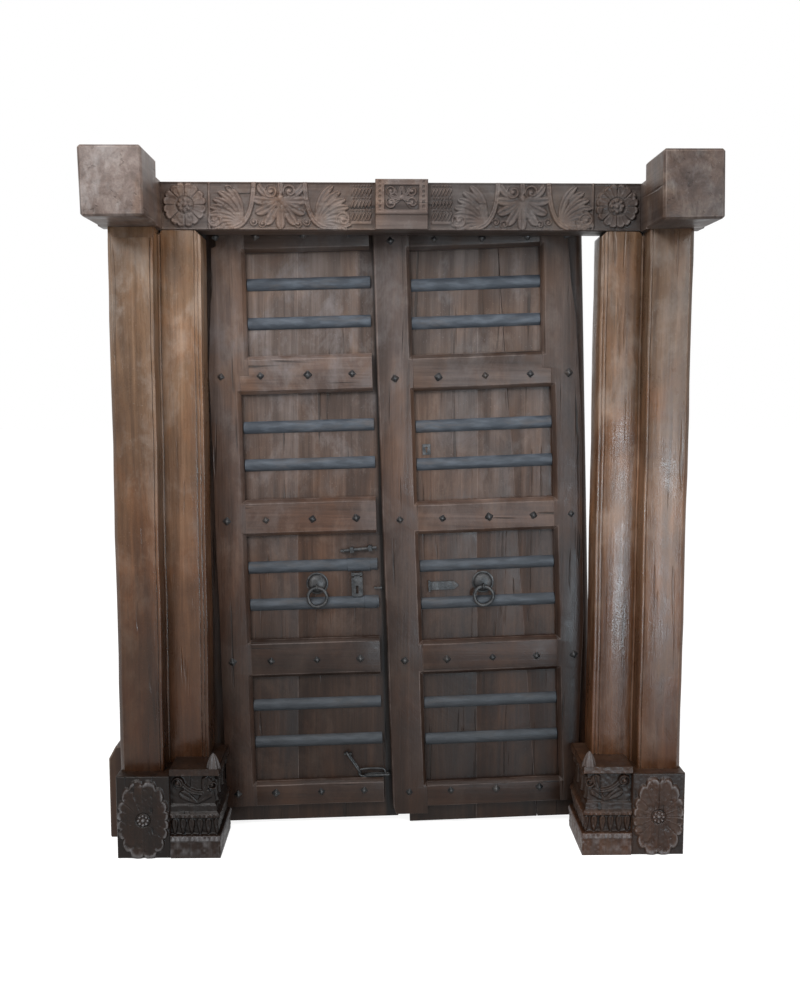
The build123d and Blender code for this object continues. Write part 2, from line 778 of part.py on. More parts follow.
def bolt_place(leaf):
    out = leaf["rail_end"] - bolt_short
    return Pos(out, plank_front - keeper_wall - bolt_radius - 1, bolt_up) * Rot(0, -bolt_tilt, 0)


def bolt(leaf):
    body = Cylinder(bolt_radius, bolt_length, rotation=(0, 90, 0))
    grip_out = bolt_grip_inset - bolt_length / 2
    grip = Cylinder(bolt_grip_radius, bolt_grip_length, rotation=(90, 0, 0))
    grip = Pos(grip_out, 3 - bolt_radius - bolt_grip_length / 2, 0) * grip
    return bolt_place(leaf) * (body + grip)


def bolt_keepers(leaf):
    keepers = []
    for place in keeper_places:
        reach = bolt_radius + keeper_wall
        foot = plank_front - bolt_place(leaf).position.Y
        shell = Pos(place, (foot - reach) / 2, 0) * Box(keeper_width, foot + reach, 2 * reach)
        bore = Cylinder(bolt_radius + keeper_clearance, 2 * keeper_width, rotation=(0, 90, 0))
        keepers.append(bolt_place(leaf) * (shell - Pos(place, 0, 0) * bore))
    return keepers


def hasp_pin_place():
    return left_rail_end - hasp_short, plank_front - hasp_knuckle_radius - 1, hasp_up


def hasp():
    out, y, up = hasp_pin_place()
    plate = bar(out - hasp_width / 2, out + hasp_width / 2, y - hasp_thickness / 2, y + hasp_thickness / 2,
                up - hasp_length, up)
    plate = fillet(plate.edges().filter_by(Axis.Y).group_by(Axis.Z)[0], radius=hasp_width / 4)
    knuckle = rod(hasp_knuckle_radius, hasp_width / 2, out - hasp_width / 4, y, up, "x")
    sides = []
    for edge in (-1, 1):
        x = out + edge * 3 * hasp_width / 8
        bottom = up - hasp_knuckle_radius - 4
        sides.append(bar(x - hasp_width / 8, x + hasp_width / 8, y - 8, y + 8, bottom, up + 9))
    slot_middle = up - 0.68 * hasp_length
    slot = bar(out - hasp_slot_width / 2, out + hasp_slot_width / 2, y - 9, y + 9,
               slot_middle - hasp_slot_height / 2, slot_middle + hasp_slot_height / 2)
    piece = plate + knuckle
    for side in sides:
        piece -= side
    bore = rod(hasp_pin_radius + hasp_pin_clearance, hasp_width, out - hasp_width / 2, y, up, "x")
    return piece - slot - bore


def hasp_hinge():
    """Two lugs on the planks and the pin through them."""
    out, y, up = hasp_pin_place()
    pieces = rod(hasp_pin_radius, hasp_width, out - hasp_width / 2, y, up, "x")
    for edge in (-1, 1):
        x = out + edge * 3 * hasp_width / 8
        half = hasp_width / 8 - 0.4
        lug = bar(x - half, x + half, y - hasp_knuckle_radius + 1, plank_front, up - 5, up + 6)
        pieces = pieces + lug
    return pieces


def staple(out, y, up):
    """A bent staple of square bar, with its two legs in the planks."""
    half = 2 * staple_bar
    outer = bar(out - half - staple_bar / 2, out + half + staple_bar / 2, y - staple_bar / 2, plank_front,
                up - staple_bar / 2, up + staple_bar / 2)
    inner = bar(out - half + staple_bar / 2, out + half - staple_bar / 2, y + staple_bar / 2, plank_front + 1,
                up - staple_bar, up + staple_bar)
    return outer - inner


def chain_link(length, width):
    """An oval link of six-sided bar, lying in its own XY plane."""
    radius = (width - link_bar) / 2
    straight = (length - width) / 2
    points = []
    for side in (1, -1):
        for step in range(5):
            turn = math.radians(-90 + 45 * step)
            points.append((side * (straight + radius * math.cos(turn)), side * radius * math.sin(turn)))
    return bent_bar(points, link_bar, 6)


def chain_plane():
    return plank_front - slim_link_width / 2 - 0.5


def chain_staple():
    return staple(left_rail_end - chain_staple_short, chain_plane(), chain_staple_up)


def chain(leaf):
    """One link hangs from its staple; two more lie on the bottom rail."""
    ledge = leaf["rails"][0][1]
    y = chain_plane()
    up = ledge + wide_link_width / 2 + link_gap / 2
    face_out = leaf["rail_end"] - wide_link_short
    lying_out = face_out + lying_link_step
    face_on = Pos(face_out, y, up) * Rot(90, 0, 0) * chain_link(wide_link_length, wide_link_width)
    lying_up = ledge + 1.5 * link_bar + link_gap
    lying = Pos(lying_out, y, lying_up) * chain_link(lying_link_length, slim_link_width)
    hook_out, hook_up = leaf["rail_end"] - chain_staple_short, chain_staple_up
    caught_out = face_out - wide_link_length / 2 + 1.5 * link_bar + link_slack - link_gap - 0.2
    run = math.hypot(caught_out - hook_out, hook_up - up)
    over = (staple_bar + link_bar) / 2 + link_slack
    slope = math.degrees(math.atan2(hook_up - up, caught_out - hook_out))
    middle_out = (caught_out + hook_out - over * math.cos(math.radians(slope))) / 2
    middle_up = (up + hook_up + over * math.sin(math.radians(slope))) / 2
    hanging = chain_link(run + over + link_bar, slim_link_width)
    hanging = Pos(middle_out, y, middle_up) * Rot(0, slope, 0) * hanging
    return [hanging, face_on, lying]


def latch_plate():
    """A flat plate with a pointed end, nailed to the planks."""
    out, up = right_rail_end - latch_short, latch_up
    length, height, point = latch_length, latch_height, latch_point
    points = [(out, up - height / 2), (out, up + height / 2), (out - length + point, up + height / 2),
              (out - length, up), (out - length + point, up - height / 2)]
    plate = slab(points, plank_front - 5, plank_front)
    lip = bar(out - 6, out, plank_front - 11, plank_front, up - height / 2 - 5, up + height / 2 + 5)
    return plate + lip


def keyhole_plate():
    out, up = right_rail_end - keyhole_short, keyhole_up
    middle = plank_front - keyhole_plate_thickness / 2
    plate = Pos(out, middle, up) * Box(26, keyhole_plate_thickness, 34)
    hole = Pos(out, middle, up + 4) * Cylinder(4.5, 2 * keyhole_plate_thickness, rotation=(90, 0, 0))
    slit = Pos(out, middle, up - 4) * Box(4.5, 2 * keyhole_plate_thickness, 14)
    return plate - hole - slit


def write(name, shape):
    """Moves a piece to the shared origin and writes it."""
    pieces = shape if isinstance(shape, list) else [shape]
    solids = []
    for piece in pieces:
        solids += list((Pos(shift_right, shift_back, 0) * piece).solids())
    result = solids[0] if len(solids) == 1 else Compound(children=solids)
    export_step(result, os.path.join("parts", name + ".step"))


def write_frame():
    write("lintel", lintel())
    write("head_beam", head_beam())
    write("head_beam_pegs", head_beam_pegs())
    for side, leaf in (("left", LEFT), ("right", RIGHT)):
        write(side + "_head_block", head_block(side))
        write(side + "_outer_post", outer_post(side))
        write(side + "_inner_post", inner_post(side))
        write(side + "_outer_plinth", outer_plinth(side))
        write(side + "_inner_plinth", inner_plinth(side))
        write(side + "_ground_block", ground_block(side, leaf))


def write_leaf(leaf):
    side = leaf["side"]

    def put(name, shape):
        pieces = shape if isinstance(shape, list) else [shape]
        write(side + "_" + name, [leaning(piece, leaf) for piece in pieces])

    put("hinge_stile", hinge_stile(leaf))
    put("pivot_stile", pivot_stile(leaf))
    for number in range(len(leaf["rails"])):
        put("rail_" + str(number + 1), rail(leaf, number))
    for number in range(len(leaf["plank_edges"]) - 1):
        put("plank_" + str(number + 1), plank(leaf, number))
    for count, row in enumerate(ledger_rows):
        put("ledger_" + str(count + 1), ledger(leaf, row))
    put("lower_straps", straps(leaf, True))
    put("upper_straps", straps(leaf, False))
    put("nails", nails(leaf))
    put("ring_boss", ring_boss(leaf))
    put("ring", ring(leaf))
    if side == "left":
        put("strap_collars", strap_collars(leaf))
        put("bolt", bolt(leaf))
        put("bolt_keepers", bolt_keepers(leaf))
        put("hasp", hasp())
        put("hasp_hinge", hasp_hinge())
        hasp_staple = staple(left_rail_end - 1, plank_front - hasp_staple_proud, hasp_staple_up)
        put("staples", [hasp_staple, chain_staple()])
        put("chain", chain(leaf))
    else:
        put("meeting_stile", meeting_stile(leaf))
        put("latch_plate", latch_plate())
        put("keyhole_plate", keyhole_plate())


os.makedirs("parts", exist_ok=True)
write_frame()
write_leaf(LEFT)
write_leaf(RIGHT)
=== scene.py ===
import math

import bpy
import numpy as np
from mathutils import Matrix, Vector


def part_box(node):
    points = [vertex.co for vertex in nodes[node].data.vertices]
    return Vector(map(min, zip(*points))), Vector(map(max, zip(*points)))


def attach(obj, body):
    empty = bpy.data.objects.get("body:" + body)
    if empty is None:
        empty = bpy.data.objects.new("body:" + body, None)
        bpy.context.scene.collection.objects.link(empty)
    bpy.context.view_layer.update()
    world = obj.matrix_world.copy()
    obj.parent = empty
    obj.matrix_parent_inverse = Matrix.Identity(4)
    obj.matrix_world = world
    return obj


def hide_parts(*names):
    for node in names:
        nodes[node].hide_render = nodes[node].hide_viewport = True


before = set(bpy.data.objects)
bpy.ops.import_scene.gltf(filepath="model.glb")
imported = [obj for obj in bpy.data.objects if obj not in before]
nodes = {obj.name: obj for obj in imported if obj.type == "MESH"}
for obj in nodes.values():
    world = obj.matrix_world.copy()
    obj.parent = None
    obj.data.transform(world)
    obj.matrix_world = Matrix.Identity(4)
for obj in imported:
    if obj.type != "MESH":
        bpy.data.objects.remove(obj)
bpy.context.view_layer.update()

# Camera: where the photograph was taken from, in metres and radians
camera_place = (-0.0543, -3.4628, 1.4730)
camera_yaw = 0.0198
camera_pitch = -0.1059
camera_roll = 0.0007
camera_lens = 40.54
sensor_height = 36.0

# Sizes that several pieces share, in metres
merge_distance = 0.00005
seam_overlap = 0.0013
plinth_face_depth = 0.0102
moulded_plinth_height = 0.283
nail_width = 0.023
nail_depth = 0.012
plain_ring_bar = 0.0035
forged_ring_bar = 0.0055

# The floor's grey and glow, and how bright the sky is to look at and as a light
floor_grey = 0.42
floor_glow = 0.80
sky_seen = 1.0
sky_light = 0.55


# Handling pieces

def select_only(*pieces):
    """Selects these pieces and nothing else. The first one is active."""
    bpy.ops.object.select_all(action="DESELECT")
    for piece in pieces:
        piece.select_set(True)
    bpy.context.view_layer.objects.active = pieces[0]


def merged(pieces):
    select_only(*pieces)
    bpy.ops.object.join()
    return bpy.context.object


def opened_copy(node, name):
    """A copy of a node with its doubled vertices merged, all selected and open for editing."""
    mesh = nodes[node].data.copy()
    piece = bpy.data.objects.new(name, mesh)
    bpy.context.scene.collection.objects.link(piece)
    select_only(piece)
    if mesh.has_custom_normals:
        bpy.ops.mesh.customdata_custom_splitnormals_clear()
    bpy.ops.object.mode_set(mode="EDIT")
    bpy.ops.mesh.select_all(action="SELECT")
    bpy.ops.mesh.remove_doubles(threshold=merge_distance)
    return piece


def points_of(mesh):
    corners = np.zeros(len(mesh.vertices) * 3)
    mesh.vertices.foreach_get("co", corners)
    return corners.reshape(-1, 3)


def mark(mesh, name, values, domain="POINT"):
    """Gives a mesh numbers that its material reads."""
    layer = mesh.attributes.new(name, "FLOAT", domain)
    layer.data.foreach_set("value", np.asarray(values, np.float32))


def bevel_all(offset, segments):
    bpy.ops.object.mode_set(mode="EDIT")
    bpy.ops.mesh.select_all(action="SELECT")
    bpy.ops.mesh.bevel(offset=offset, segments=segments)
    bpy.ops.object.mode_set(mode="OBJECT")


# Materials

class Graph:
    """A small helper that adds shader nodes to one material."""

    def __init__(self, name):
        self.material = bpy.data.materials.new(name)
        self.material.use_nodes = True
        self.tree = self.material.node_tree
        self.shader = self.tree.nodes["Principled BSDF"]
        self.place = self.add("ShaderNodeTexCoord").outputs["Object"]

    def add(self, kind, **settings):
        node = self.tree.nodes.new(kind)
        for key, value in settings.items():
            setattr(node, key, value)
        return node

    def link(self, socket, value):
        if hasattr(value, "is_output"):
            self.tree.links.new(value, socket)
        else:
            socket.default_value = value

    def stretched(self, scale, offset=(0, 0, 0)):
        node = self.add("ShaderNodeMapping")
        self.link(node.inputs["Vector"], self.place)
        node.inputs["Scale"].default_value = scale
        node.inputs["Location"].default_value = offset
        return node.outputs["Vector"]

    def noise(self, vector, scale, detail=4.0, roughness=0.55, distortion=0.0):
        node = self.add("ShaderNodeTexNoise")
        self.link(node.inputs["Vector"], vector)
        node.inputs["Scale"].default_value = scale
        node.inputs["Detail"].default_value = detail
        node.inputs["Roughness"].default_value = roughness
        node.inputs["Distortion"].default_value = distortion
        return node.outputs["Fac"]

    def attribute(self, name):
        return self.add("ShaderNodeAttribute", attribute_name=name).outputs["Fac"]

    def ramp(self, value, *stops):
        node = self.add("ShaderNodeValToRGB")
        self.link(node.inputs["Fac"], value)
        elements = node.color_ramp.elements
        while len(elements) < len(stops):
            elements.new(0.5)
        for element, (place, colour) in zip(elements, stops):
            element.position = place
            element.color = (*colour, 1) if isinstance(colour, tuple) else (colour, colour, colour, 1)
        return node.outputs["Color"]

    def mix(self, factor, first, second, mode="MIX"):
        node = self.add("ShaderNodeMix", data_type="RGBA", blend_type=mode)
        self.link(node.inputs["Factor"], factor)
        for socket, value in ((node.inputs[6], first), (node.inputs[7], second)):
            self.link(socket, (*value, 1) if isinstance(value, tuple) else value)
        return node.outputs[2]

    def math(self, operation, first, second=0.0):
        node = self.add("ShaderNodeMath", operation=operation)
        self.link(node.inputs[0], first)
        self.link(node.inputs[1], second)
        return node.outputs[0]

    def height(self, low, high):
        """0 below one height above the floor and 1 above another."""
        split = self.add("ShaderNodeSeparateXYZ")
        self.link(split.inputs[0], self.place)
        node = self.add("ShaderNodeMapRange", interpolation_type="SMOOTHSTEP")
        self.link(node.inputs["Value"], split.outputs["Z"])
        node.inputs["From Min"].default_value = low
        node.inputs["From Max"].default_value = high
        return node.outputs[0]

    def seen_ray(self):
        """1 for what the camera sees, straight on or in a shiny or clear surface."""
        rays = self.add("ShaderNodeLightPath").outputs
        mirrored = self.math("MAXIMUM", rays["Is Glossy Ray"], rays["Is Transmission Ray"])
        return self.math("MAXIMUM", rays["Is Camera Ray"], mirrored)

    def bump(self, height, distance, strength, normal=None):
        node = self.add("ShaderNodeBump")
        self.link(node.inputs["Height"], height)
        node.inputs["Distance"].default_value = distance
        node.inputs["Strength"].default_value = strength
        if normal is not None:
            self.link(node.inputs["Normal"], normal)
        return node.outputs["Normal"]


def wood(name, grain, dark, middle, light, dust, dusty=0.35, gloss=0.55, cracks=0.8,
         painted_relief_light=None, pale=0.0, ridge_wear_and_highlight_grey=(0.14, 0.14, 0.145), shine=0.17):
    """Old oiled timber: long fibres, open checks, dusty patches, painted darker towards the floor and lighter
    towards the lintel.
    Pale is how far the highest ridges of a carving turn grey, partly by wear and partly as a painted
    highlight."""
    g = Graph(name)
    scale = [1.0, 1.0, 1.0]
    scale["XYZ".index(grain)] = 0.045
    fibre_place = g.stretched(tuple(scale))
    fibres = g.noise(fibre_place, 160.0, 5.0, 0.65, 0.2)
    bands = g.noise(fibre_place, 22.0, 5.0, 0.6, 0.8)
    slow = g.noise(g.place, 2.6, 6.0, 0.62, 0.5)
    blotch = g.noise(g.stretched((1.0, 1.0, 0.6), (3.1, 1.7, 0.4)), 9.0, 6.0, 0.7, 0.3)
    check_place = g.stretched(tuple(0.4 * share for share in scale), (0.7, 0.2, 0.9))
    checks = g.noise(check_place, 150.0, 2.0, 0.4, 0.6)
    check_mask = g.ramp(checks, (0.28, 1.0), (0.33, 0.0))
    specks = g.ramp(g.noise(g.place, 210.0, 3.0, 0.6), (0.66, 0.0), (0.74, 1.0))
    warmth = g.noise(g.stretched((1.0, 1.0, 0.5), (5.2, 0.3, 2.2)), 5.5, 5.0, 0.65, 0.6)

    colour = g.ramp(bands, (0.22, dark), (0.5, middle), (0.78, light))
    colour = g.mix(0.5, colour, g.ramp(fibres, (0.25, 0.45), (0.5, 0.95), (0.8, 1.35)), "MULTIPLY")
    dull = g.mix(1.0, colour, (0.5, 0.47, 0.47), "MULTIPLY")
    colour = g.mix(g.ramp(slow, (0.36, 0.75), (0.62, 0.0)), colour, dull)
    colour = g.mix(g.ramp(blotch, (0.50, 0.0), (0.72, dusty)), colour, dust)
    colour = g.mix(g.math("MULTIPLY", specks, 0.35), colour, dust)
    colour = g.mix(g.math("MULTIPLY", check_mask, cracks), colour, (0.008, 0.006, 0.005))
    warm = g.mix(1.0, colour, (1.22, 0.98, 0.76), "MULTIPLY")
    colour = g.mix(g.ramp(warmth, (0.46, 0.0), (0.64, 0.8)), colour, warm)
    # Painted light and shade by height: darker towards the floor, lighter and bluer towards the lintel
    colour = g.mix(1.0, colour, g.ramp(g.height(0.0, 2.1), *painted_light_by_height), "MULTIPLY")
    # Painted light and shade of each piece, lighter or darker by its own numbers
    colour = g.mix(1.0, colour, g.math("ADD", g.attribute("painted_light_and_shade"), 1.0), "MULTIPLY")
    rubbed = g.math("MULTIPLY", g.attribute("worn"), g.ramp(blotch, (0.38, 0.0), (0.66, 0.55)))
    bare = g.mix(1.0, g.mix(0.5, colour, dust), (1.5, 1.45, 1.4), "MULTIPLY")
    colour = g.mix(rubbed, colour, bare)
    # Painted shade in the hollows of a carving and painted highlight on its ridges
    if painted_relief_light:
        carved = g.attribute("relief")
        colour = g.mix(1.0, colour, g.ramp(carved, *painted_relief_light), "MULTIPLY")
        # The highest ridges turn grey, partly worn and partly as a painted highlight
        ridges = g.ramp(carved, (0.68, 0.0), (0.95, pale))
        colour = g.mix(g.math("MULTIPLY", ridges, fibres), colour, ridge_wear_and_highlight_grey)
    g.link(g.shader.inputs["Base Color"], colour)
    g.link(g.shader.inputs["Roughness"], g.ramp(blotch, (0.3, gloss - 0.12), (0.7, gloss + 0.2)))
    g.shader.inputs["Specular IOR Level"].default_value = shine
    grain_height = g.math("ADD", g.math("MULTIPLY", fibres, 0.5), g.math("MULTIPLY", bands, 0.7))
    grain_height = g.math("SUBTRACT", grain_height, g.math("MULTIPLY", check_mask, 1.2))
    normal = g.bump(slow, 0.012, 0.35)
    g.link(g.shader.inputs["Normal"], g.bump(grain_height, 0.0016, 0.75, normal))
    return g.material


def iron(name, base, worn, rust, metal=0.5, draw=(1, 1, 1), rough=0.0):
    """Forged iron: hammered, dull blue-grey, with a little brown rust."""
    g = Graph(name)
    hammered = g.noise(g.stretched(draw), 55.0, 3.0, 0.5)
    grain = g.noise(g.place, 420.0, 4.0, 0.6)
    patches = g.noise(g.stretched(draw), 17.0, 6.0, 0.7, 0.4)
    colour = g.mix(g.ramp(hammered, (0.42, 0.0), (0.68, 0.8)), base, worn)
    colour = g.mix(g.ramp(patches, (0.52, 0.0), (0.66, 0.75)), colour, rust)
    colour = g.mix(0.6, colour, g.ramp(grain, (0.3, 0.6), (0.7, 1.3)), "MULTIPLY")
    # Painted shade towards the floor and painted light higher up on the ironwork
    painted_iron_light_by_height = g.ramp(g.height(0.0, 2.1), (0.0, 0.35), (0.4, 0.7), (0.75, 1.1))
    colour = g.mix(1.0, colour, painted_iron_light_by_height, "MULTIPLY")
    g.link(g.shader.inputs["Base Color"], colour)
    g.link(g.shader.inputs["Metallic"], g.ramp(patches, (0.45, metal), (0.62, 0.1)))
    g.link(g.shader.inputs["Roughness"], g.ramp(grain, (0.3, 0.42 + rough), (0.7, 0.62 + rough)))
    normal = g.bump(hammered, 0.004, 0.6)
    g.link(g.shader.inputs["Normal"], g.bump(grain, 0.0006, 0.5, normal))
    return g.material


# Painted light and shade by height, which multiplies the timber's colour: darker towards the floor, lighter
# and bluer towards the lintel
painted_light_by_height = (
    (0.0, (0.40, 0.32, 0.25)),
    (0.14, (0.46, 0.37, 0.29)),
    (0.36, (0.80, 0.73, 0.66)),
    (0.55, (1.14, 1.18, 1.20)),
    (0.75, (1.21, 1.34, 1.42)),
    (1.0, (1.27, 1.47, 1.60)),
)
post_colours = dict(dark=(0.022, 0.011, 0.006), middle=(0.066, 0.034, 0.018), light=(0.118, 0.066, 0.039),
                    dust=(0.15, 0.118, 0.098), gloss=0.30, dusty=0.35, cracks=0.3, shine=0.23)
leaf_colours = dict(dark=(0.020, 0.012, 0.009), middle=(0.050, 0.031, 0.024), light=(0.086, 0.058, 0.048),
                    dust=(0.125, 0.105, 0.10), gloss=0.42, dusty=0.3)
plank_colours = dict(dark=(0.015, 0.009, 0.007), middle=(0.041, 0.026, 0.020), light=(0.078, 0.055, 0.046),
                     dust=(0.13, 0.112, 0.11), gloss=0.46, dusty=0.35, cracks=0.6)
carved_colours = dict(dark=(0.026, 0.016, 0.012), middle=(0.062, 0.040, 0.032), light=(0.105, 0.075, 0.062),
                      dust=(0.16, 0.132, 0.12), gloss=0.42, dusty=0.35)
plinth_colours = dict(carved_colours, middle=(0.062, 0.036, 0.024), light=(0.105, 0.066, 0.048), dusty=0.2)
block_colours = dict(carved_colours, dusty=0.55, cracks=0.15)

# Painted shade and highlight on a carving: how dark its hollows are painted and how light its ridges
lintel_painted_relief_light = ((0.0, 0.66), (0.45, 0.88), (0.95, 1.25))
plinth_painted_relief_light = ((0.0, 0.32), (0.5, 0.6), (0.8, 1.0), (1.0, 1.3))

post_wood = wood("post_wood", "Z", **post_colours)
leaf_wood = wood("leaf_wood", "Z", **leaf_colours)
rail_wood = wood("rail_wood", "X", **leaf_colours)
plank_wood = wood("plank_wood", "Z", **plank_colours)
lintel_wood = wood("lintel_wood", "X", painted_relief_light=lintel_painted_relief_light, **carved_colours)
plinth_wood = wood("plinth_wood", "Z", painted_relief_light=plinth_painted_relief_light, pale=1.0, **plinth_colours)
block_wood = wood("block_wood", "Y", **block_colours)
back_wood = wood("back_wood", "X", **plank_colours)
strap_iron = iron("strap_iron", base=(0.014, 0.019, 0.027), worn=(0.049, 0.059, 0.074),
                  rust=(0.040, 0.034, 0.033), metal=0.12, draw=(0.3, 1, 1), rough=0.2)
small_iron = iron("small_iron", base=(0.012, 0.012, 0.013), worn=(0.056, 0.055, 0.056),
                  rust=(0.030, 0.019, 0.013))


def material_for(name):
    """Chooses a material from the plain words in a node's name."""
    choices = (
        (("straps", "collars"), strap_iron),
        (("nails", "ring", "bolt", "hasp", "staple", "chain", "latch", "keyhole"), small_iron),
        (("head_block",), block_wood),
        (("plinth",), plinth_wood),
        (("head_beam", "ledger"), back_wood),
        (("ground_block", "post"), post_wood),
        (("lintel",), lintel_wood),
        (("rail",), rail_wood),
        (("plank",), plank_wood),
    )
    for words, material in choices:
        if any(word in name for word in words):
            return material
    return leaf_wood


for name, node in nodes.items():
    node.data.materials.clear()
    node.data.materials.append(material_for(name))


# Carving

lintel_low, lintel_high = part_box("lintel")
lintel_foot = lintel_low.z
beam_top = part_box("head_beam")[1].z
beam_height = beam_top - lintel_foot
door_middle = (lintel_low.x + lintel_high.x) / 2
centre_half = 0.080
centre_face = lintel_low.y + 0.0072
beam_face = centre_face + 0.014
beam_back = lintel_high.y
band_half = 0.730

# The middles of the carvings, measured to each side from the middle of the door
flower_place = 0.655
border_place = 0.581
outer_fan_place = 0.516
palmette_place = 0.366
inner_fan_place = 0.222
curls = ((0.286, 0.024), (0.312, 0.018), (0.420, 0.018), (0.446, 0.024))
weave_start = 0.090
weave_width = 0.064
flower_petals = 8
boss_beads = 8

# How far each carving stands out
band_rise = 0.0085
field_rise = 0.006
plinth_flower_rise = 0.008

# The face of an inner plinth: heights above the floor, and how deep the face lies there
moulding_heights = (0, 0.050, 0.054, 0.070, 0.074, 0.124, 0.128, 0.139, 0.146, 0.164, 0.170, 0.258, 0.262,
                    moulded_plinth_height)
moulding_depths = (0, 0, -0.001, -0.001, 0.015, 0.012, 0.003, 0.003, 0.010, 0.012, 0.017, 0.017, 0.001, 0.002)


def smooth(value, low, high):
    """0 below low and 1 above high, with a soft step between them."""
    share = np.clip((value - low) / (high - low), 0, 1)
    return share * share * (3 - 2 * share)


def patchy(x, z, size, seed):
    """Smooth patches of random height between -1 and 1, about size metres across."""
    table = np.random.default_rng(seed).uniform(-1, 1, (64, 64))
    column, row = np.floor(x / size).astype(int), np.floor(z / size).astype(int)
    across, up = x / size - column, z / size - row
    across, up = across * across * (3 - 2 * across), up * up * (3 - 2 * up)
    lower = table[row % 64, column % 64] * (1 - across) + table[row % 64, (column + 1) % 64] * across
    row = row + 1
    upper = table[row % 64, column % 64] * (1 - across) + table[row % 64, (column + 1) % 64] * across
    return lower * (1 - up) + upper * up


def wear(x, z, seed=0):
    """The unevenness of hand-cut and worn wood, between about -1 and 1."""
    return 0.6 * patchy(x, z, 0.022, seed) + 0.4 * patchy(x, z, 0.008, seed + 50)


def carve_leaf(height, x, z, foot, angle, length, width, rise, bend=0.0):
    """A long rounded leaf with a hollow along its middle. It turns by bend degrees towards its tip."""
    reach = np.hypot(x - foot[0], z - foot[1])
    turn = np.arctan2(z - foot[1], x - foot[0]) - math.radians(angle)
    turn = turn - math.radians(bend) * reach / length
    along = reach * np.cos(turn) / length
    across = reach * np.sin(turn)
    share = np.clip(along, 0, 1)
    half = width / 2 * (0.25 + 0.95 * share ** 0.8) * np.sqrt(np.clip(1 - share ** 7, 0, 1)) + 1e-6
    inside = np.clip(1 - (across / half) ** 2, 0, 1) * (along > 0) * (along < 1)
    hollow = 1 - 0.5 * np.exp(-(across / (0.34 * half)) ** 2) * smooth(share, 0.1, 0.5)
    np.maximum(height, rise * np.sqrt(inside) ** 0.7 * hollow * (0.6 + 0.4 * share), out=height)


def carve_bead(height, x, z, centre, radius, rise):
    inside = np.clip(1 - ((x - centre[0]) ** 2 + (z - centre[1]) ** 2) / radius ** 2, 0, 1)
    np.maximum(height, rise * np.sqrt(inside), out=height)


def carve_scroll(height, x, z, centre, radius, rise, hand=1):
    """A round volute: a ridge that winds in to a bead."""
    dx, dz = x - centre[0], z - centre[1]
    reach = np.hypot(dx, dz) / radius
    turns = 1.6 * reach - hand * np.arctan2(dz, dx) / (2 * math.pi)
    ridge = (0.55 + 0.45 * np.cos(2 * math.pi * turns)) * (reach < 1)
    np.maximum(height, rise * ridge * np.clip(8 * (1 - reach), 0, 1), out=height)
    carve_bead(height, x, z, centre, 0.3 * radius, 1.15 * rise)


def carve_stalk(height, x, z, start, bend, end, width, rise):
    """A curved stalk with a groove along it."""
    nearest = np.full_like(x, 9.0)
    for step in range(41):
        t = step / 40
        px, pz = [(1 - t) ** 2 * first + 2 * t * (1 - t) * second + t * t * last
                  for first, second, last in zip(start, bend, end)]
        np.minimum(nearest, np.hypot(x - px, z - pz), out=nearest)
    share = nearest / (width / 2)
    groove = 1 - 0.45 * np.exp(-(share / 0.35) ** 2)
    np.maximum(height, rise * np.sqrt(np.clip(1 - share ** 2, 0, 1)) * groove, out=height)


def carve_flower(height, x, z, centre, reach, boss, rise, stretch=0.0, groove=1.0):
    """Lobed petals with a rib each, round a beaded boss.
    Stretch lengthens those that point up and down."""
    dx, dz = x - centre[0], z - centre[1]
    distance = np.hypot(dx, dz)
    pitch = 2 * math.pi / flower_petals
    angle = np.arctan2(dz, dx) + pitch / 2
    offset = (angle + pitch / 2) % pitch / pitch * 2 - 1
    limit = reach + stretch * np.abs(np.sin(np.arctan2(dz, dx))) ** 3
    edge = limit * (1 - 0.08 * np.exp(-(offset / 0.14) ** 2) - 0.12 * np.abs(offset) ** 5)
    share = np.clip(distance / edge, 0, 1)
    lobe = (1 - groove * np.abs(offset) ** 14) * smooth(distance, 0.9 * boss, 1.15 * boss)
    lobe = lobe * np.clip((1 - share) * 14, 0, 1)
    lip = 0.22 * np.exp(-((share - 0.9) / 0.05) ** 2)
    dish = 0.50 + 0.30 * share ** 2 + lip + 0.2 * np.abs(offset) ** 4
    rib = 0.20 * np.exp(-(offset / 0.08) ** 2) * (1 - share)
    np.maximum(height, rise * lobe * (dish + rib), out=height)
    carve_bead(height, x, z, centre, boss, 0.75 * rise)
    for number in range(boss_beads):
        turn = 2 * math.pi * number / boss_beads
        bead = (centre[0] + 0.66 * boss * math.cos(turn), centre[1] + 0.66 * boss * math.sin(turn))
        carve_bead(height, x, z, bead, 0.24 * boss, 1.25 * rise)
    carve_bead(height, x, z, centre, 0.32 * boss, 1.45 * rise)


def carve_palmette(height, x, z, middle, rise):
    """A fan of leaves that hangs from a crown with two scrolls."""
    crown = (middle, lintel_foot + 0.094)
    for side in (-1, 1):
        carve_scroll(height, x, z, (middle + side * 0.028, crown[1] + 0.020), 0.022, rise, side)
        foot = (middle + side * 0.010, crown[1])
        carve_leaf(height, x, z, foot, 90 - side * 90, 0.070, 0.026, rise, side * 34)
    carve_leaf(height, x, z, (middle, crown[1] + 0.002), 90, 0.044, 0.020, rise)
    for number in range(7):
        angle = -158 + 136 / 6 * number
        reach = 0.076 + 0.016 * abs(math.sin(math.radians(angle)))
        bend = 20 * (number - 3) / 3
        carve_leaf(height, x, z, crown, angle, reach, 0.031, rise, bend)
    carve_bead(height, x, z, crown, 0.012, rise)


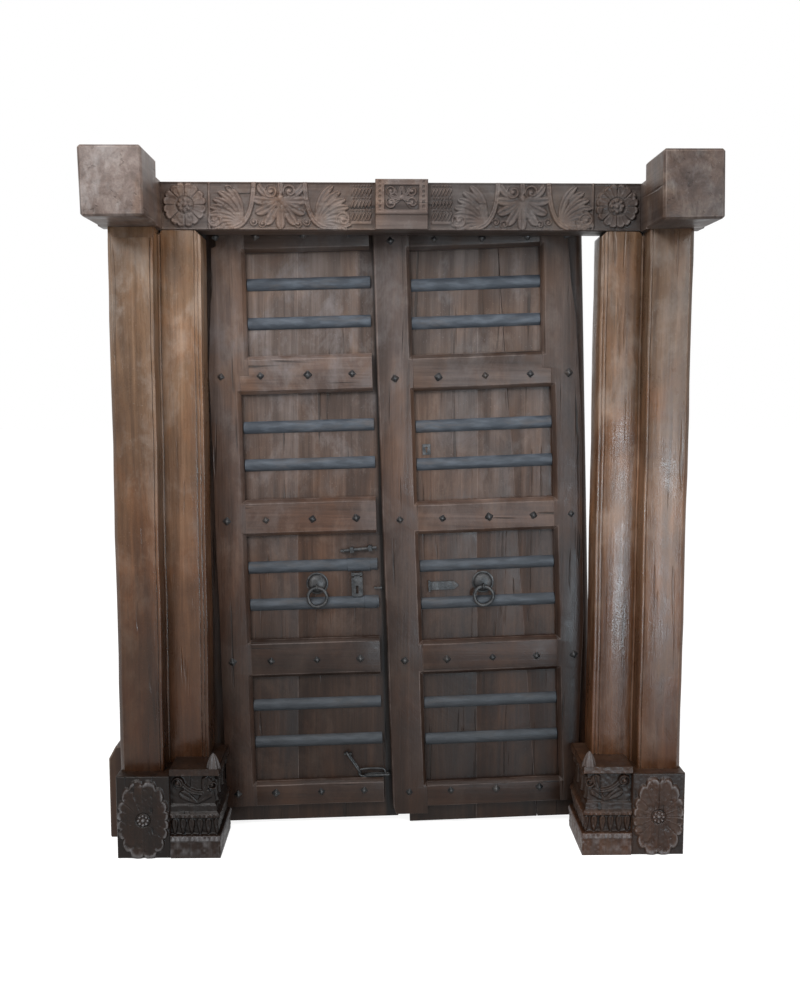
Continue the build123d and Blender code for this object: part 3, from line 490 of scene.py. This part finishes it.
def carve_half_palmette(height, x, z, middle, hand, rise):
    """Leaves that fan up from a curling stalk, with a volute at their foot."""
    def at(across, up):
        return middle + hand * across, lintel_foot + up

    for number in range(8):
        angle = 104 - 13 * number
        angle = angle if hand > 0 else 180 - angle
        carve_leaf(height, x, z, at(-0.030, 0.014), angle, 0.126 - 0.0065 * number, 0.028, rise, -hand * 34)
    carve_scroll(height, x, z, at(0.046, 0.030), 0.025, 1.1 * rise, hand)
    stalk_top = (middle - hand * 0.070, beam_top - 0.003)
    carve_stalk(height, x, z, stalk_top, at(-0.066, 0.020), at(-0.012, 0.008), 0.017, 1.1 * rise)
    carve_stalk(height, x, z, at(-0.012, 0.008), at(0.030, 0.002), at(0.066, 0.016), 0.010, rise)


def carve_weave(height, x, z, start, rise):
    """Slanting strokes in rows, with a row of dots between them."""
    across = x - start
    up = z - lintel_foot - 0.028
    inside = (across > 0) * (across < weave_width) * (up > 0) * (up < 0.108)
    row = (up % 0.036) / 0.036
    slant = 0.5 + 0.5 * np.cos(2 * math.pi * (across / 0.0105 - 1.4 * row))
    strokes = slant * (row < 0.72) * np.sin(math.pi * np.clip(row / 0.72, 0, 1)) ** 0.4
    dots = np.clip(np.cos(2 * math.pi * across / 0.0085), 0, 1)
    dots = dots * np.clip(1 - ((row - 0.86) / 0.1) ** 2, 0, 1)
    np.maximum(height, rise * inside * np.maximum(strokes, dots), out=height)
    plain = (across > 0) * (across < weave_width) * (up < -0.002) * (up > -0.010)
    np.maximum(height, 0.8 * rise * plain, out=height)


def lintel_height(x, z):
    """How far the carving of the long band stands out, in metres."""
    rise = band_rise
    height = np.zeros_like(x)
    across = x - door_middle
    for side in (-1, 1):
        carve_flower(height, across, z, (side * flower_place, lintel_foot + 0.073), 0.068, 0.026, rise)
        border = smooth(-np.abs(across - side * border_place), -0.004, -0.002)
        np.maximum(height, 0.8 * rise * border, out=height)
        carve_half_palmette(height, across, z, side * outer_fan_place, side, rise)
        carve_palmette(height, across, z, side * palmette_place, rise)
        carve_half_palmette(height, across, z, side * inner_fan_place, -side, rise)
        for place, up in curls:
            carve_scroll(height, across, z, (side * place, lintel_foot + up), 0.013, 0.8 * rise, side)
        start = weave_start if side > 0 else -weave_start - weave_width
        carve_weave(height, across, z, start, 0.7 * rise)
    worn = 1 - 0.4 * smooth(wear(x, z, 2), 0.1, 0.7)
    half = beam_height / 2
    lips = smooth(np.abs(z - lintel_foot - half), half - 0.006, half - 0.003)
    return np.maximum(height * worn, 0.5 * rise * lips) + 0.0007 * wear(x, z, 1)


def centre_height(x, z):
    """The middle block: a sunk field of scrollwork between rows of beads, over a plain band."""
    rise = field_rise
    across = x - door_middle
    field = np.maximum(np.abs(across) - 0.052, np.abs(z - lintel_foot - 0.096) - 0.036)
    height = rise * smooth(field, -0.001, 0.001)
    inner = np.zeros_like(x)
    for side in (-1, 1):
        carve_scroll(inner, across, z, (side * 0.032, lintel_foot + 0.080), 0.018, rise, side)
        carve_scroll(inner, across, z, (side * 0.032, lintel_foot + 0.114), 0.016, rise, -side)
        for angle in (-62, -20, 24, 66):
            carve_leaf(inner, across, z, (side * 0.003, lintel_foot + 0.096), 90 - side * (90 - angle), 0.034,
                       0.014, rise, side * 30)
    carve_bead(inner, across, z, (0, lintel_foot + 0.096), 0.009, rise)
    height = np.maximum(height, inner * (field < 0))
    beads = 0.5 + 0.5 * np.cos(2 * math.pi * z / 0.0145)
    rows = smooth(-np.abs(np.abs(across) - 0.066), -0.0045, -0.003) * (z > lintel_foot + 0.056)
    height = height - 0.0035 * rows * (1 - beads)
    height = height + 0.003 * smooth(-np.abs(z - lintel_foot - 0.050), -0.005, -0.003)
    return height - 0.002 * (z < lintel_foot + 0.044) + 0.0006 * wear(x, z, 4)


def plinth_front_height(x, z, middle):
    """The large flower that fills the face of an outer plinth."""
    height = np.zeros_like(x)
    carve_flower(height, x, z, (middle, 0.124), 0.084, 0.022, plinth_flower_rise, stretch=0.050, groove=0.4)
    return height * (1 - 0.4 * smooth(wear(x, z, 3), 0.1, 0.7)) + 0.0009 * wear(x, z, 6)


def moulding_depth(along, z, front):
    """How deep the face of an inner plinth lies, at a distance along its front or side."""
    depth = np.interp(z, moulding_heights, moulding_depths)
    rise = np.zeros_like(z)
    flutes = np.clip(np.cos(2 * math.pi * along / 0.021), 0, 1) ** 0.7
    foot = (z > 0.007) * (z < 0.049)
    rise = np.maximum(rise, 0.0045 * flutes * foot - 0.004 * foot)
    teeth = 1 - np.abs((along % 0.015) / 0.0075 - 1)
    rise += 0.004 * teeth * (z > 0.055) * (z < 0.069) * smooth(0.058 + 0.012 * teeth - z, -0.001, 0.001)
    offset = ((along % 0.026) / 0.013 - 1) * 0.013
    petal = np.zeros_like(z)
    carve_leaf(petal, offset, z, (0, 0.074), 90, 0.050, 0.022, 0.010)
    rise = np.maximum(rise, petal)
    rise += 0.003 * teeth * (z > 0.129) * (z < 0.138)
    broken = 0.0022 * wear(along, z, 2)
    return depth - rise - niche_carving(along, z, front) + broken * smooth(z, 0.0, 0.02)


def niche_carving(along, z, front):
    """Scroll, leaves and a small bracket in the upper field."""
    rise = np.zeros_like(z)
    if front:
        carve_leaf(rise, along, z, (0.086, 0.172), 148, 0.066, 0.034, 0.012)
        carve_leaf(rise, along, z, (0.082, 0.172), 40, 0.058, 0.032, 0.011)
        carve_stalk(rise, along, z, (0.026, 0.250), (0.050, 0.206), (0.098, 0.204), 0.017, 0.012)
        carve_scroll(rise, along, z, (0.026, 0.236), 0.021, 0.013)
        carve_leaf(rise, along, z, (0.104, 0.206), 76, 0.050, 0.036, 0.013)
        carve_scroll(rise, along, z, (0.132, 0.232), 0.017, 0.012, -1)
    else:
        for place in (0.040, 0.110, 0.180):
            carve_leaf(rise, along, z, (place, 0.172), 90, 0.078, 0.046, 0.010)
            carve_scroll(rise, along, z, (place + 0.035, 0.236), 0.015, 0.010)
    return rise


def carved_sheet(name, columns, rows, place, relief):
    """A fine grid laid on a face. Place gives its points and heights, and relief is the greatest height."""
    bpy.ops.object.select_all(action="DESELECT")
    bpy.ops.mesh.primitive_grid_add(x_subdivisions=columns, y_subdivisions=rows, size=2)
    sheet = bpy.context.object
    sheet.name = name
    flat = points_of(sheet.data)
    across, up = (flat[:, 0] + 1) / 2, (flat[:, 1] + 1) / 2
    points, heights = place(across, up)
    sheet.data.vertices.foreach_set("co", points.ravel())
    mark(sheet.data, "relief", np.clip(heights / relief, -1, 2))
    sheet.data.update()
    bpy.ops.object.shade_smooth()
    return sheet


def plain_block(name, low, high):
    """The timber behind a carved face."""
    bpy.ops.object.select_all(action="DESELECT")
    middle = [(a + b) / 2 for a, b in zip(low, high)]
    bpy.ops.mesh.primitive_cube_add(size=1, location=middle, scale=[b - a for a, b in zip(low, high)])
    block = bpy.context.object
    block.name = name
    bpy.ops.object.transform_apply(location=True, rotation=True, scale=True)
    bevel_all(0.003, 2)
    mark(block.data, "relief", np.full(len(block.data.vertices), 0.6))
    return block


def hewn(points):
    """The slow unevenness of a timber shaped by hand, the same for whatever lies side by side."""
    x, y, z = points.T
    sideways = np.sin(11 * z + 2 * y) + 0.5 * np.sin(29 * z + 13 * x)
    inwards = 0.6 * np.sin(17 * z + 9 * x + 1) + 0.4 * np.sin(31 * x + 7 * z)
    upwards = np.sin(10 * x + 3) + 0.5 * np.sin(27 * x + 11 * z)
    return np.stack([sideways, inwards, upwards], 1) / 1.5


def worn_piece(node, body, slot, painted_light_and_shade=(0.0, 0.0), edge=0.002, uneven=0.0008, pitch=0.09,
               dark_beyond=None):
    """A piece as its node has it, with hewn faces and rubbed edges. A pair of numbers paints light and shade
    on it, lighter or darker at its foot and head.
    Dark_beyond is a point and a slope: right of that leaning line the piece lies in deep shade."""
    piece = opened_copy(node, node + "_worn")
    mesh = piece.data
    bpy.ops.mesh.dissolve_limited(angle_limit=0.01)
    low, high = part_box(node)
    spans = [b - a for a, b in zip(low, high)]
    axis = spans.index(max(spans))
    normal = [0.0, 0.0, 0.0]
    normal[axis] = 1.0
    cuts = max(2, round(spans[axis] / pitch))
    for number in range(1, cuts):
        place = list(low)
        place[axis] = low[axis] + spans[axis] * number / cuts
        bpy.ops.mesh.select_all(action="SELECT")
        bpy.ops.mesh.bisect(plane_co=place, plane_no=normal)
    if dark_beyond:
        (line_x, line_z), slope = dark_beyond
        for step in (0.0, 0.008):
            bpy.ops.mesh.select_all(action="SELECT")
            bpy.ops.mesh.bisect(plane_co=(line_x + step, 0, line_z), plane_no=(1, 0, -slope))
    bpy.ops.object.mode_set(mode="OBJECT")
    points = points_of(mesh)
    points = points + uneven * hewn(points)
    if slot == "plank_timber":
        points[:, 0] += seam_overlap * np.sign(points[:, 0] - (low.x + high.x) / 2)
    mesh.vertices.foreach_set("co", points.ravel())
    mesh.materials.append(mesh.materials[0])
    rubbed = piece.modifiers.new("rubbed_edges", "BEVEL")
    rubbed.width = edge
    rubbed.segments = 2
    rubbed.limit_method = "ANGLE"
    rubbed.angle_limit = math.radians(34)
    rubbed.material = 1
    bpy.ops.object.modifier_apply(modifier=rubbed.name)
    bpy.ops.object.shade_smooth_by_angle(angle=math.radians(40))
    index = np.zeros(len(mesh.polygons), np.int32)
    sides = np.zeros(len(mesh.polygons), np.int32)
    mesh.polygons.foreach_get("material_index", index)
    mesh.polygons.foreach_get("loop_total", sides)
    mark(mesh, "worn", np.repeat(index, sides), "CORNER")
    mesh.polygons.foreach_set("material_index", np.zeros_like(index))
    mesh.materials.pop(index=1)
    points = points_of(mesh)
    share = (points[:, 2] - low.z) / max(high.z - low.z, 0.001)
    light = painted_light_and_shade[0] + (painted_light_and_shade[1] - painted_light_and_shade[0]) * share
    if dark_beyond:
        beyond = points[:, 0] - line_x - slope * (points[:, 2] - line_z)
        light = np.where(beyond > 0.006, -0.85, light)
    # Painted light and shade from foot to head, and painted shade beyond the leaning line
    mark(mesh, "painted_light_and_shade", light)
    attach(piece, body)
    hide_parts(node)
    return piece


def joined(name, pieces, material, node, painted_light_and_shade=0.0, painted_light_slope=0.0):
    """Makes one carved timber in place of its plain node, painted lighter or darker for the light and shade it
    lies in.
    The last number is how much lighter it is painted per metre to the right."""
    timber = merged(pieces)
    timber.name = name
    timber.data.materials.clear()
    timber.data.materials.append(material)
    mark(timber.data, "painted_light_and_shade", painted_light_and_shade + painted_light_slope * points_of(timber.data)[:, 0])
    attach(timber, "frame")
    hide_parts(node)
    return timber


def flat_face(x0, x1, z0, z1, y, height_at, tuck=0.012):
    """Places a sheet on a front face, its border tucked back into the block."""
    width, tall = x1 - x0, z1 - z0

    def place(across, up):
        x = x0 + across * width
        z = z0 + up * tall
        height = height_at(x, z)
        border = np.minimum(np.minimum(across * width, (1 - across) * width),
                            np.minimum(up * tall, (1 - up) * tall))
        depth = tuck * np.clip(1 - border / 0.0022, 0, 1) ** 2
        return np.stack([x, y - height + depth, z], 1), height

    return place


def build_lintel(material):
    """The long carved band, the proud block in its middle and the timber behind them."""
    left, right = door_middle - centre_half, door_middle + centre_half
    band = flat_face(door_middle - band_half, door_middle + band_half, lintel_foot, beam_top, beam_face,
                     lintel_height)
    field = flat_face(left, right, lintel_foot, lintel_high.z, centre_face, centre_height)
    pieces = [
        plain_block("beam", (lintel_low.x, beam_face + 0.003, lintel_foot),
                    (lintel_high.x, beam_back, beam_top)),
        plain_block("middle", (left, centre_face + 0.003, lintel_foot + 0.0005),
                    (right, beam_back - 0.001, lintel_high.z)),
        carved_sheet("band", 860, 85, band, band_rise),
        carved_sheet("field", 116, 108, field, field_rise),
    ]
    # The lintel is painted a little darker overall and darker towards the right, as painted shade
    return joined("carved_lintel", pieces, material, "lintel", -0.08, -0.52)


def build_outer_plinth(side, material):
    node = side + "_outer_plinth"
    low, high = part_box(node)
    face = low.y + plinth_face_depth
    middle = (low.x + high.x) / 2
    front = flat_face(low.x, high.x, low.z, high.z, face,
                      lambda x, z: plinth_front_height(x, z, middle))
    pieces = [plain_block("block", (low.x, face + 0.003, low.z), tuple(high)),
              carved_sheet("flower", 120, 190, front, 0.009)]
    return joined(side + "_flower_plinth", pieces, material, node, plinth_painted_light[side])


def build_inner_plinth(side, material):
    """Mouldings that run along the front and turn the corner to the doorway side."""
    node = side + "_inner_plinth"
    low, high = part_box(node)
    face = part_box(side + "_outer_plinth")[0].y + plinth_face_depth
    top = moulded_plinth_height
    hand = 1 if side == "right" else -1
    inner, outer = (low.x, high.x) if side == "right" else (high.x, low.x)
    front_run = abs(outer - inner)
    side_run = high.y - face

    def place(across, up):
        z = up * top
        along = across * (front_run + side_run)
        on_front = along < front_run
        depth = np.where(on_front, moulding_depth(along, z, True),
                         moulding_depth(along - front_run, z, False))
        x_front = np.maximum(front_run - along, depth)
        y_side = np.maximum(along - front_run, depth)
        x = inner + hand * np.where(on_front, x_front, depth)
        y = face + np.where(on_front, depth, y_side)
        return np.stack([x, y, z], 1), 0.010 - depth

    sheet = carved_sheet("mouldings", 250, 170, place, 0.014)
    if side == "left":
        bpy.ops.object.mode_set(mode="EDIT")
        bpy.ops.mesh.select_all(action="SELECT")
        bpy.ops.mesh.flip_normals()
        bpy.ops.object.mode_set(mode="OBJECT")
    core = sorted((inner + hand * 0.004, outer))
    cap = plain_block("cap", (core[0], face + 0.004, top - 0.018), (core[1], high.y, top))
    core = sorted((inner + hand * 0.030, outer))
    block = plain_block("core", (core[0], face + 0.030, 0), (core[1], high.y, top - 0.010))
    pieces = [sheet, cap, block, finial(inner, hand, face, top)]
    return joined(side + "_moulded_plinth", pieces, material, node, plinth_painted_light[side])


def finial(inner, hand, face, foot):
    """The pointed leaf on the inner front corner, ribbed and a little curled."""
    bpy.ops.object.select_all(action="DESELECT")
    bpy.ops.mesh.primitive_cylinder_add(vertices=24, radius=1, depth=2, end_fill_type="NOTHING")
    leaf = bpy.context.object
    bpy.ops.object.mode_set(mode="EDIT")
    bpy.ops.mesh.select_all(action="SELECT")
    bpy.ops.mesh.subdivide(number_cuts=7)
    bpy.ops.object.mode_set(mode="OBJECT")
    for vertex in leaf.data.vertices:
        up = (vertex.co.z + 1) / 2
        round_by = math.atan2(vertex.co.y, vertex.co.x)
        girth = 0.019 * (1 - up ** 1.6) ** 0.8 * (1 + 0.12 * math.cos(6 * round_by)) + 0.0008
        vertex.co = (inner + hand * 0.020 + girth * math.cos(round_by),
                     face + 0.019 + 0.8 * girth * math.sin(round_by) - 0.004 * up ** 2,
                     foot - 0.004 + 0.052 * up)
    mark(leaf.data, "relief", np.full(len(leaf.data.vertices), 0.8))
    bpy.ops.object.shade_smooth()
    return leaf


# Painted light and shade: how much lighter or darker each piece is painted than its timber's colour, for the
# light it lies in
plinth_painted_light = {"left": -0.45, "right": 0.5}
build_lintel(lintel_wood)
for side in ("left", "right"):
    build_outer_plinth(side, plinth_wood)
    build_inner_plinth(side, plinth_wood)


# Timbers and straps with rubbed edges

worn_piece("head_beam", "frame", "frame_timber", edge=0.004, uneven=0.0)
# The pairs paint light and shade: the left head block lit, the right one in shade, the right posts lighter at
# their foot
worn_piece("left_head_block", "frame", "frame_timber", (0.3, 0.3), 0.009, 0.003, 0.03)
worn_piece("right_head_block", "frame", "frame_timber", (-0.3, -0.2), 0.009, 0.003, 0.03)
worn_piece("left_outer_post", "frame", "frame_timber", (-0.15, 0.5), 0.003, 0.0014)
worn_piece("right_outer_post", "frame", "frame_timber", (1.0, -0.1), 0.003, 0.0014)
worn_piece("left_inner_post", "frame", "frame_timber", (0.15, 0.6), 0.0025, 0.0012)
worn_piece("right_inner_post", "frame", "frame_timber", (1.5, 0.2), 0.0025, 0.0012)

# The leaning line where the left leaf's rails end, in the shade of the meeting stile
lower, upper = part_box("left_rail_1")[1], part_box("left_rail_4")[1]
free_edge = ((lower.x, lower.z), (upper.x - lower.x) / (upper.z - lower.z))

# Painted light and shade at the foot and head of the stiles and planks, and on each rail from the lowest up
stile_painted_light = {"left": (-0.1, 0.15), "right": (-0.3, -0.2)}
plank_painted_light = {"left": (-0.1, 0.42), "right": (-0.1, 0.15)}
rail_painted_light = {"left": (-0.1, -0.3, 0.25, 0.3, -0.35), "right": (-0.05, -0.1, 0.1, -0.2, -0.4)}
for side in ("left", "right"):
    leaf = side + "_leaf"
    worn_piece(side + "_ground_block", "frame", "frame_timber", (-0.3, -0.3), 0.006, 0.002)
    worn_piece(side + "_pivot_stile", leaf, "leaf_timber", edge=0.003, uneven=0.0)
    worn_piece(side + "_hinge_stile", leaf, "leaf_timber", stile_painted_light[side], 0.002, 0.001)
    for number, painted_light_and_shade in enumerate(rail_painted_light[side]):
        worn_piece(side + "_rail_" + str(number + 1), leaf, "leaf_timber", (painted_light_and_shade, painted_light_and_shade), 0.0018, 0.001)
    for number in (1, 2, 3):
        worn_piece(side + "_ledger_" + str(number), leaf, "plank_timber", edge=0.004)
        if side + "_plank_" + str(number) in nodes:
            shaded = free_edge if (side, number) == ("left", 2) else None
            worn_piece(side + "_plank_" + str(number), leaf, "plank_timber", plank_painted_light[side], 0.0015, 0.0006,
                       dark_beyond=shaded)
    for row in ("_lower_straps", "_upper_straps"):
        worn_piece(side + row, leaf, "iron", edge=0.002, uneven=0.0016, pitch=0.03)
worn_piece("right_meeting_stile", "right_leaf", "leaf_timber", (-0.1, -0.1), 0.002, 0.001)


# Ironwork

def finished_iron(piece, name, body, *stands_for):
    """Smooths a finished piece of ironwork and sets it on its body."""
    piece.name = name
    select_only(piece)
    bpy.ops.object.transform_apply(location=True, rotation=True, scale=True)
    bpy.ops.object.shade_smooth_by_angle(angle=math.radians(45))
    piece.data.materials.clear()
    piece.data.materials.append(small_iron)
    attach(piece, body)
    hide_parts(*stands_for)
    return piece


def nail_places(node):
    """Where each nail of a node meets the timber, found from its loose parts."""
    opened_copy(node, "probe")
    bpy.ops.mesh.separate(type="LOOSE")
    bpy.ops.object.mode_set(mode="OBJECT")
    places = []
    for part in list(bpy.context.selected_objects):
        points = points_of(part.data)
        seat = np.array([0, np.ptp(points[:, 1]) / 2, 0])
        places.append((points.min(0) + points.max(0)) / 2 + seat)
        bpy.data.objects.remove(part)
    return places


def nail_head():
    """A small forged head: a cube drawn in to a blunt point, its edges rubbed round."""
    bpy.ops.object.select_all(action="DESELECT")
    bpy.ops.mesh.primitive_cube_add(size=1, scale=(nail_width, nail_depth, nail_width),
                                    location=(0, -0.004, 0))
    head = bpy.context.object
    bpy.ops.object.transform_apply(location=True, rotation=True, scale=True)
    bpy.ops.object.mode_set(mode="EDIT")
    bpy.ops.mesh.select_mode(type="FACE")
    bpy.ops.mesh.select_all(action="DESELECT")
    bpy.ops.object.mode_set(mode="OBJECT")
    for polygon in head.data.polygons:
        polygon.select = polygon.normal.y < -0.9
    bpy.ops.object.mode_set(mode="EDIT")
    bpy.ops.transform.resize(value=(0.26, 1, 0.26))
    bevel_all(0.0028, 3)
    return head


def build_nails(side):
    """The nail heads of one leaf, each turned and sized a little differently."""
    first = nail_head()
    heads = []
    for number, place in enumerate(nail_places(side + "_nails")):
        head = bpy.data.objects.new("nail", first.data.copy())
        bpy.context.scene.collection.objects.link(head)
        head.location = place
        head.rotation_euler = (0, math.radians(45 + 13 * math.sin(2.7 * number)), 0)
        head.scale = [1 + 0.12 * math.sin(1.9 * number)] * 3
        heads.append(head)
    bpy.data.objects.remove(first)
    finished_iron(merged(heads), side + "_nail_heads", side + "_leaf", side + "_nails")


def build_ring(side):
    """A forged ring, a little out of round."""
    low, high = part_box(side + "_ring")
    middle = (low + high) / 2
    reach = (high.x - low.x) / 2 - plain_ring_bar
    bpy.ops.object.select_all(action="DESELECT")
    bpy.ops.mesh.primitive_torus_add(location=middle, rotation=(math.pi / 2, 0, 0), major_radius=reach,
                                     minor_radius=forged_ring_bar, major_segments=56, minor_segments=12)
    ring = bpy.context.object
    bpy.ops.object.transform_apply(location=True, rotation=True, scale=True)
    for vertex in ring.data.vertices:
        turn = math.atan2(vertex.co.z - middle.z, vertex.co.x - middle.x)
        spread = 1 + 0.012 * math.sin(3 * turn + 1) + 0.008 * math.sin(7 * turn)
        vertex.co.x = middle.x + (vertex.co.x - middle.x) * spread
        vertex.co.z = middle.z + (vertex.co.z - middle.z) * spread
    finished_iron(ring, side + "_forged_ring", side + "_ring_pull", side + "_ring")


def build_boss(side):
    """A domed plate with a small eye that holds the ring."""
    low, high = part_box(side + "_ring_boss")
    ring_low, ring_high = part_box(side + "_ring")
    middle = ((low.x + high.x) / 2, high.y, (low.z + high.z) / 2)
    eye = (middle[0], (ring_low.y + ring_high.y) / 2, ring_high.z - plain_ring_bar)
    bpy.ops.object.select_all(action="DESELECT")
    bpy.ops.mesh.primitive_uv_sphere_add(segments=40, ring_count=20, radius=1, location=middle,
                                         scale=(0.032, 0.018, 0.032))
    dome = bpy.context.object
    bpy.ops.object.select_all(action="DESELECT")
    bpy.ops.mesh.primitive_cylinder_add(vertices=36, radius=0.036, depth=0.005, location=middle,
                                        rotation=(math.pi / 2, 0, 0))
    plate = bpy.context.object
    bevel_all(0.0015, 2)
    bpy.ops.object.select_all(action="DESELECT")
    bpy.ops.mesh.primitive_torus_add(location=eye, rotation=(0, math.pi / 2, 0), major_radius=0.0085,
                                     minor_radius=0.0030, major_segments=28, minor_segments=10)
    loop = bpy.context.object
    finished_iron(merged([dome, plate, loop]), side + "_ring_plate", side + "_leaf", side + "_ring_boss")


def thicker_iron(node, body, name, more):
    """A fitting as its node has it, its bar hammered a little thicker and rounder."""
    piece = opened_copy(node, name)
    bpy.ops.mesh.tris_convert_to_quads()
    bpy.ops.transform.shrink_fatten(value=more)
    bpy.ops.object.mode_set(mode="OBJECT")
    rounder = piece.modifiers.new("rounder", "SUBSURF")
    rounder.levels = rounder.render_levels = 1
    bpy.ops.object.modifier_apply(modifier=rounder.name)
    finished_iron(piece, name, body, node)


for side in ("left", "right"):
    build_nails(side)
    build_ring(side)
    build_boss(side)
thicker_iron("left_chain", "left_leaf", "left_hanging_chain", 0.0016)


# Floor, lights and camera

bpy.ops.object.select_all(action="DESELECT")
bpy.ops.mesh.primitive_plane_add(size=60)
floor = bpy.context.object
floor.name = "floor"
floor.location.z = -0.0005
floor_paint = Graph("floor_paint")
floor_paint.shader.inputs["Base Color"].default_value = (floor_grey, floor_grey, floor_grey, 1)
floor_paint.shader.inputs["Roughness"].default_value = 0.9
floor_paint.shader.inputs["Specular IOR Level"].default_value = 0.0
floor_paint.shader.inputs["Emission Color"].default_value = (1, 1, 1, 1)
glow = floor_paint.math("MULTIPLY", floor_paint.seen_ray(), floor_glow)
floor_paint.link(floor_paint.shader.inputs["Emission Strength"], glow)
floor.data.materials.append(floor_paint.material)


def soft_light(name, place, target, size, watts):
    """A wide lamp that faces a point of the door."""
    data = bpy.data.lights.new(name, "AREA")
    data.shape = "RECTANGLE"
    data.size, data.size_y = size
    data.energy = watts
    light = bpy.data.objects.new(name, data)
    bpy.context.scene.collection.objects.link(light)
    light.location = place
    light.rotation_euler = (Vector(target) - Vector(place)).to_track_quat("-Z", "Y").to_euler()
    return light


soft_light("key_light", (-2.3, -4.0, 3.9), (0, 0, 1.3), (2.2, 1.8), 270)
soft_light("fill_light", (3.2, -3.6, 2.4), (0, 0, 1.1), (1.2, 2.2), 110)
soft_light("top_light", (0, -1.8, 4.2), (0, 0, 1.4), (3.0, 1.2), 80)
gleam = soft_light("window_light", (1.45, -3.1, 0.62), (0.7, 0, 1.05), (0.5, 1.2), 100)
gleam.data.color = (0.68, 0.87, 1.0)
gleam.visible_diffuse = False

world = bpy.data.worlds.new("studio")
bpy.context.scene.world = world
world.use_nodes = True
sky = world.node_tree.nodes["Background"]
sky.inputs["Color"].default_value = (1, 1, 1, 1)
sky_nodes, sky_links = world.node_tree.nodes, world.node_tree.links
rays = sky_nodes.new("ShaderNodeLightPath").outputs
seen = rays["Is Camera Ray"]
for ray in ("Is Glossy Ray", "Is Transmission Ray"):
    either = sky_nodes.new("ShaderNodeMath")
    either.operation = "MAXIMUM"
    sky_links.new(seen, either.inputs[0])
    sky_links.new(rays[ray], either.inputs[1])
    seen = either.outputs[0]
level = sky_nodes.new("ShaderNodeMapRange")
level.inputs["To Min"].default_value = sky_light
level.inputs["To Max"].default_value = sky_seen
sky_links.new(seen, level.inputs["Value"])
sky_links.new(level.outputs[0], sky.inputs["Strength"])
bpy.context.scene.view_settings.view_transform = "Standard"

camera_data = bpy.data.cameras.new("camera")
camera_data.sensor_fit = "VERTICAL"
camera_data.sensor_height = sensor_height
camera_data.lens = camera_lens
camera = bpy.data.objects.new("camera", camera_data)
bpy.context.scene.collection.objects.link(camera)
ahead = Vector((math.sin(camera_yaw) * math.cos(camera_pitch),
                math.cos(camera_yaw) * math.cos(camera_pitch),
                math.sin(camera_pitch)))
right = Vector((math.cos(camera_yaw), -math.sin(camera_yaw), 0))
turn = Matrix((right, right.cross(ahead), -ahead)).transposed()
turn = Matrix.Rotation(-camera_roll, 3, ahead) @ turn
camera.matrix_world = Matrix.Translation(camera_place) @ turn.to_4x4()
bpy.context.scene.camera = camera
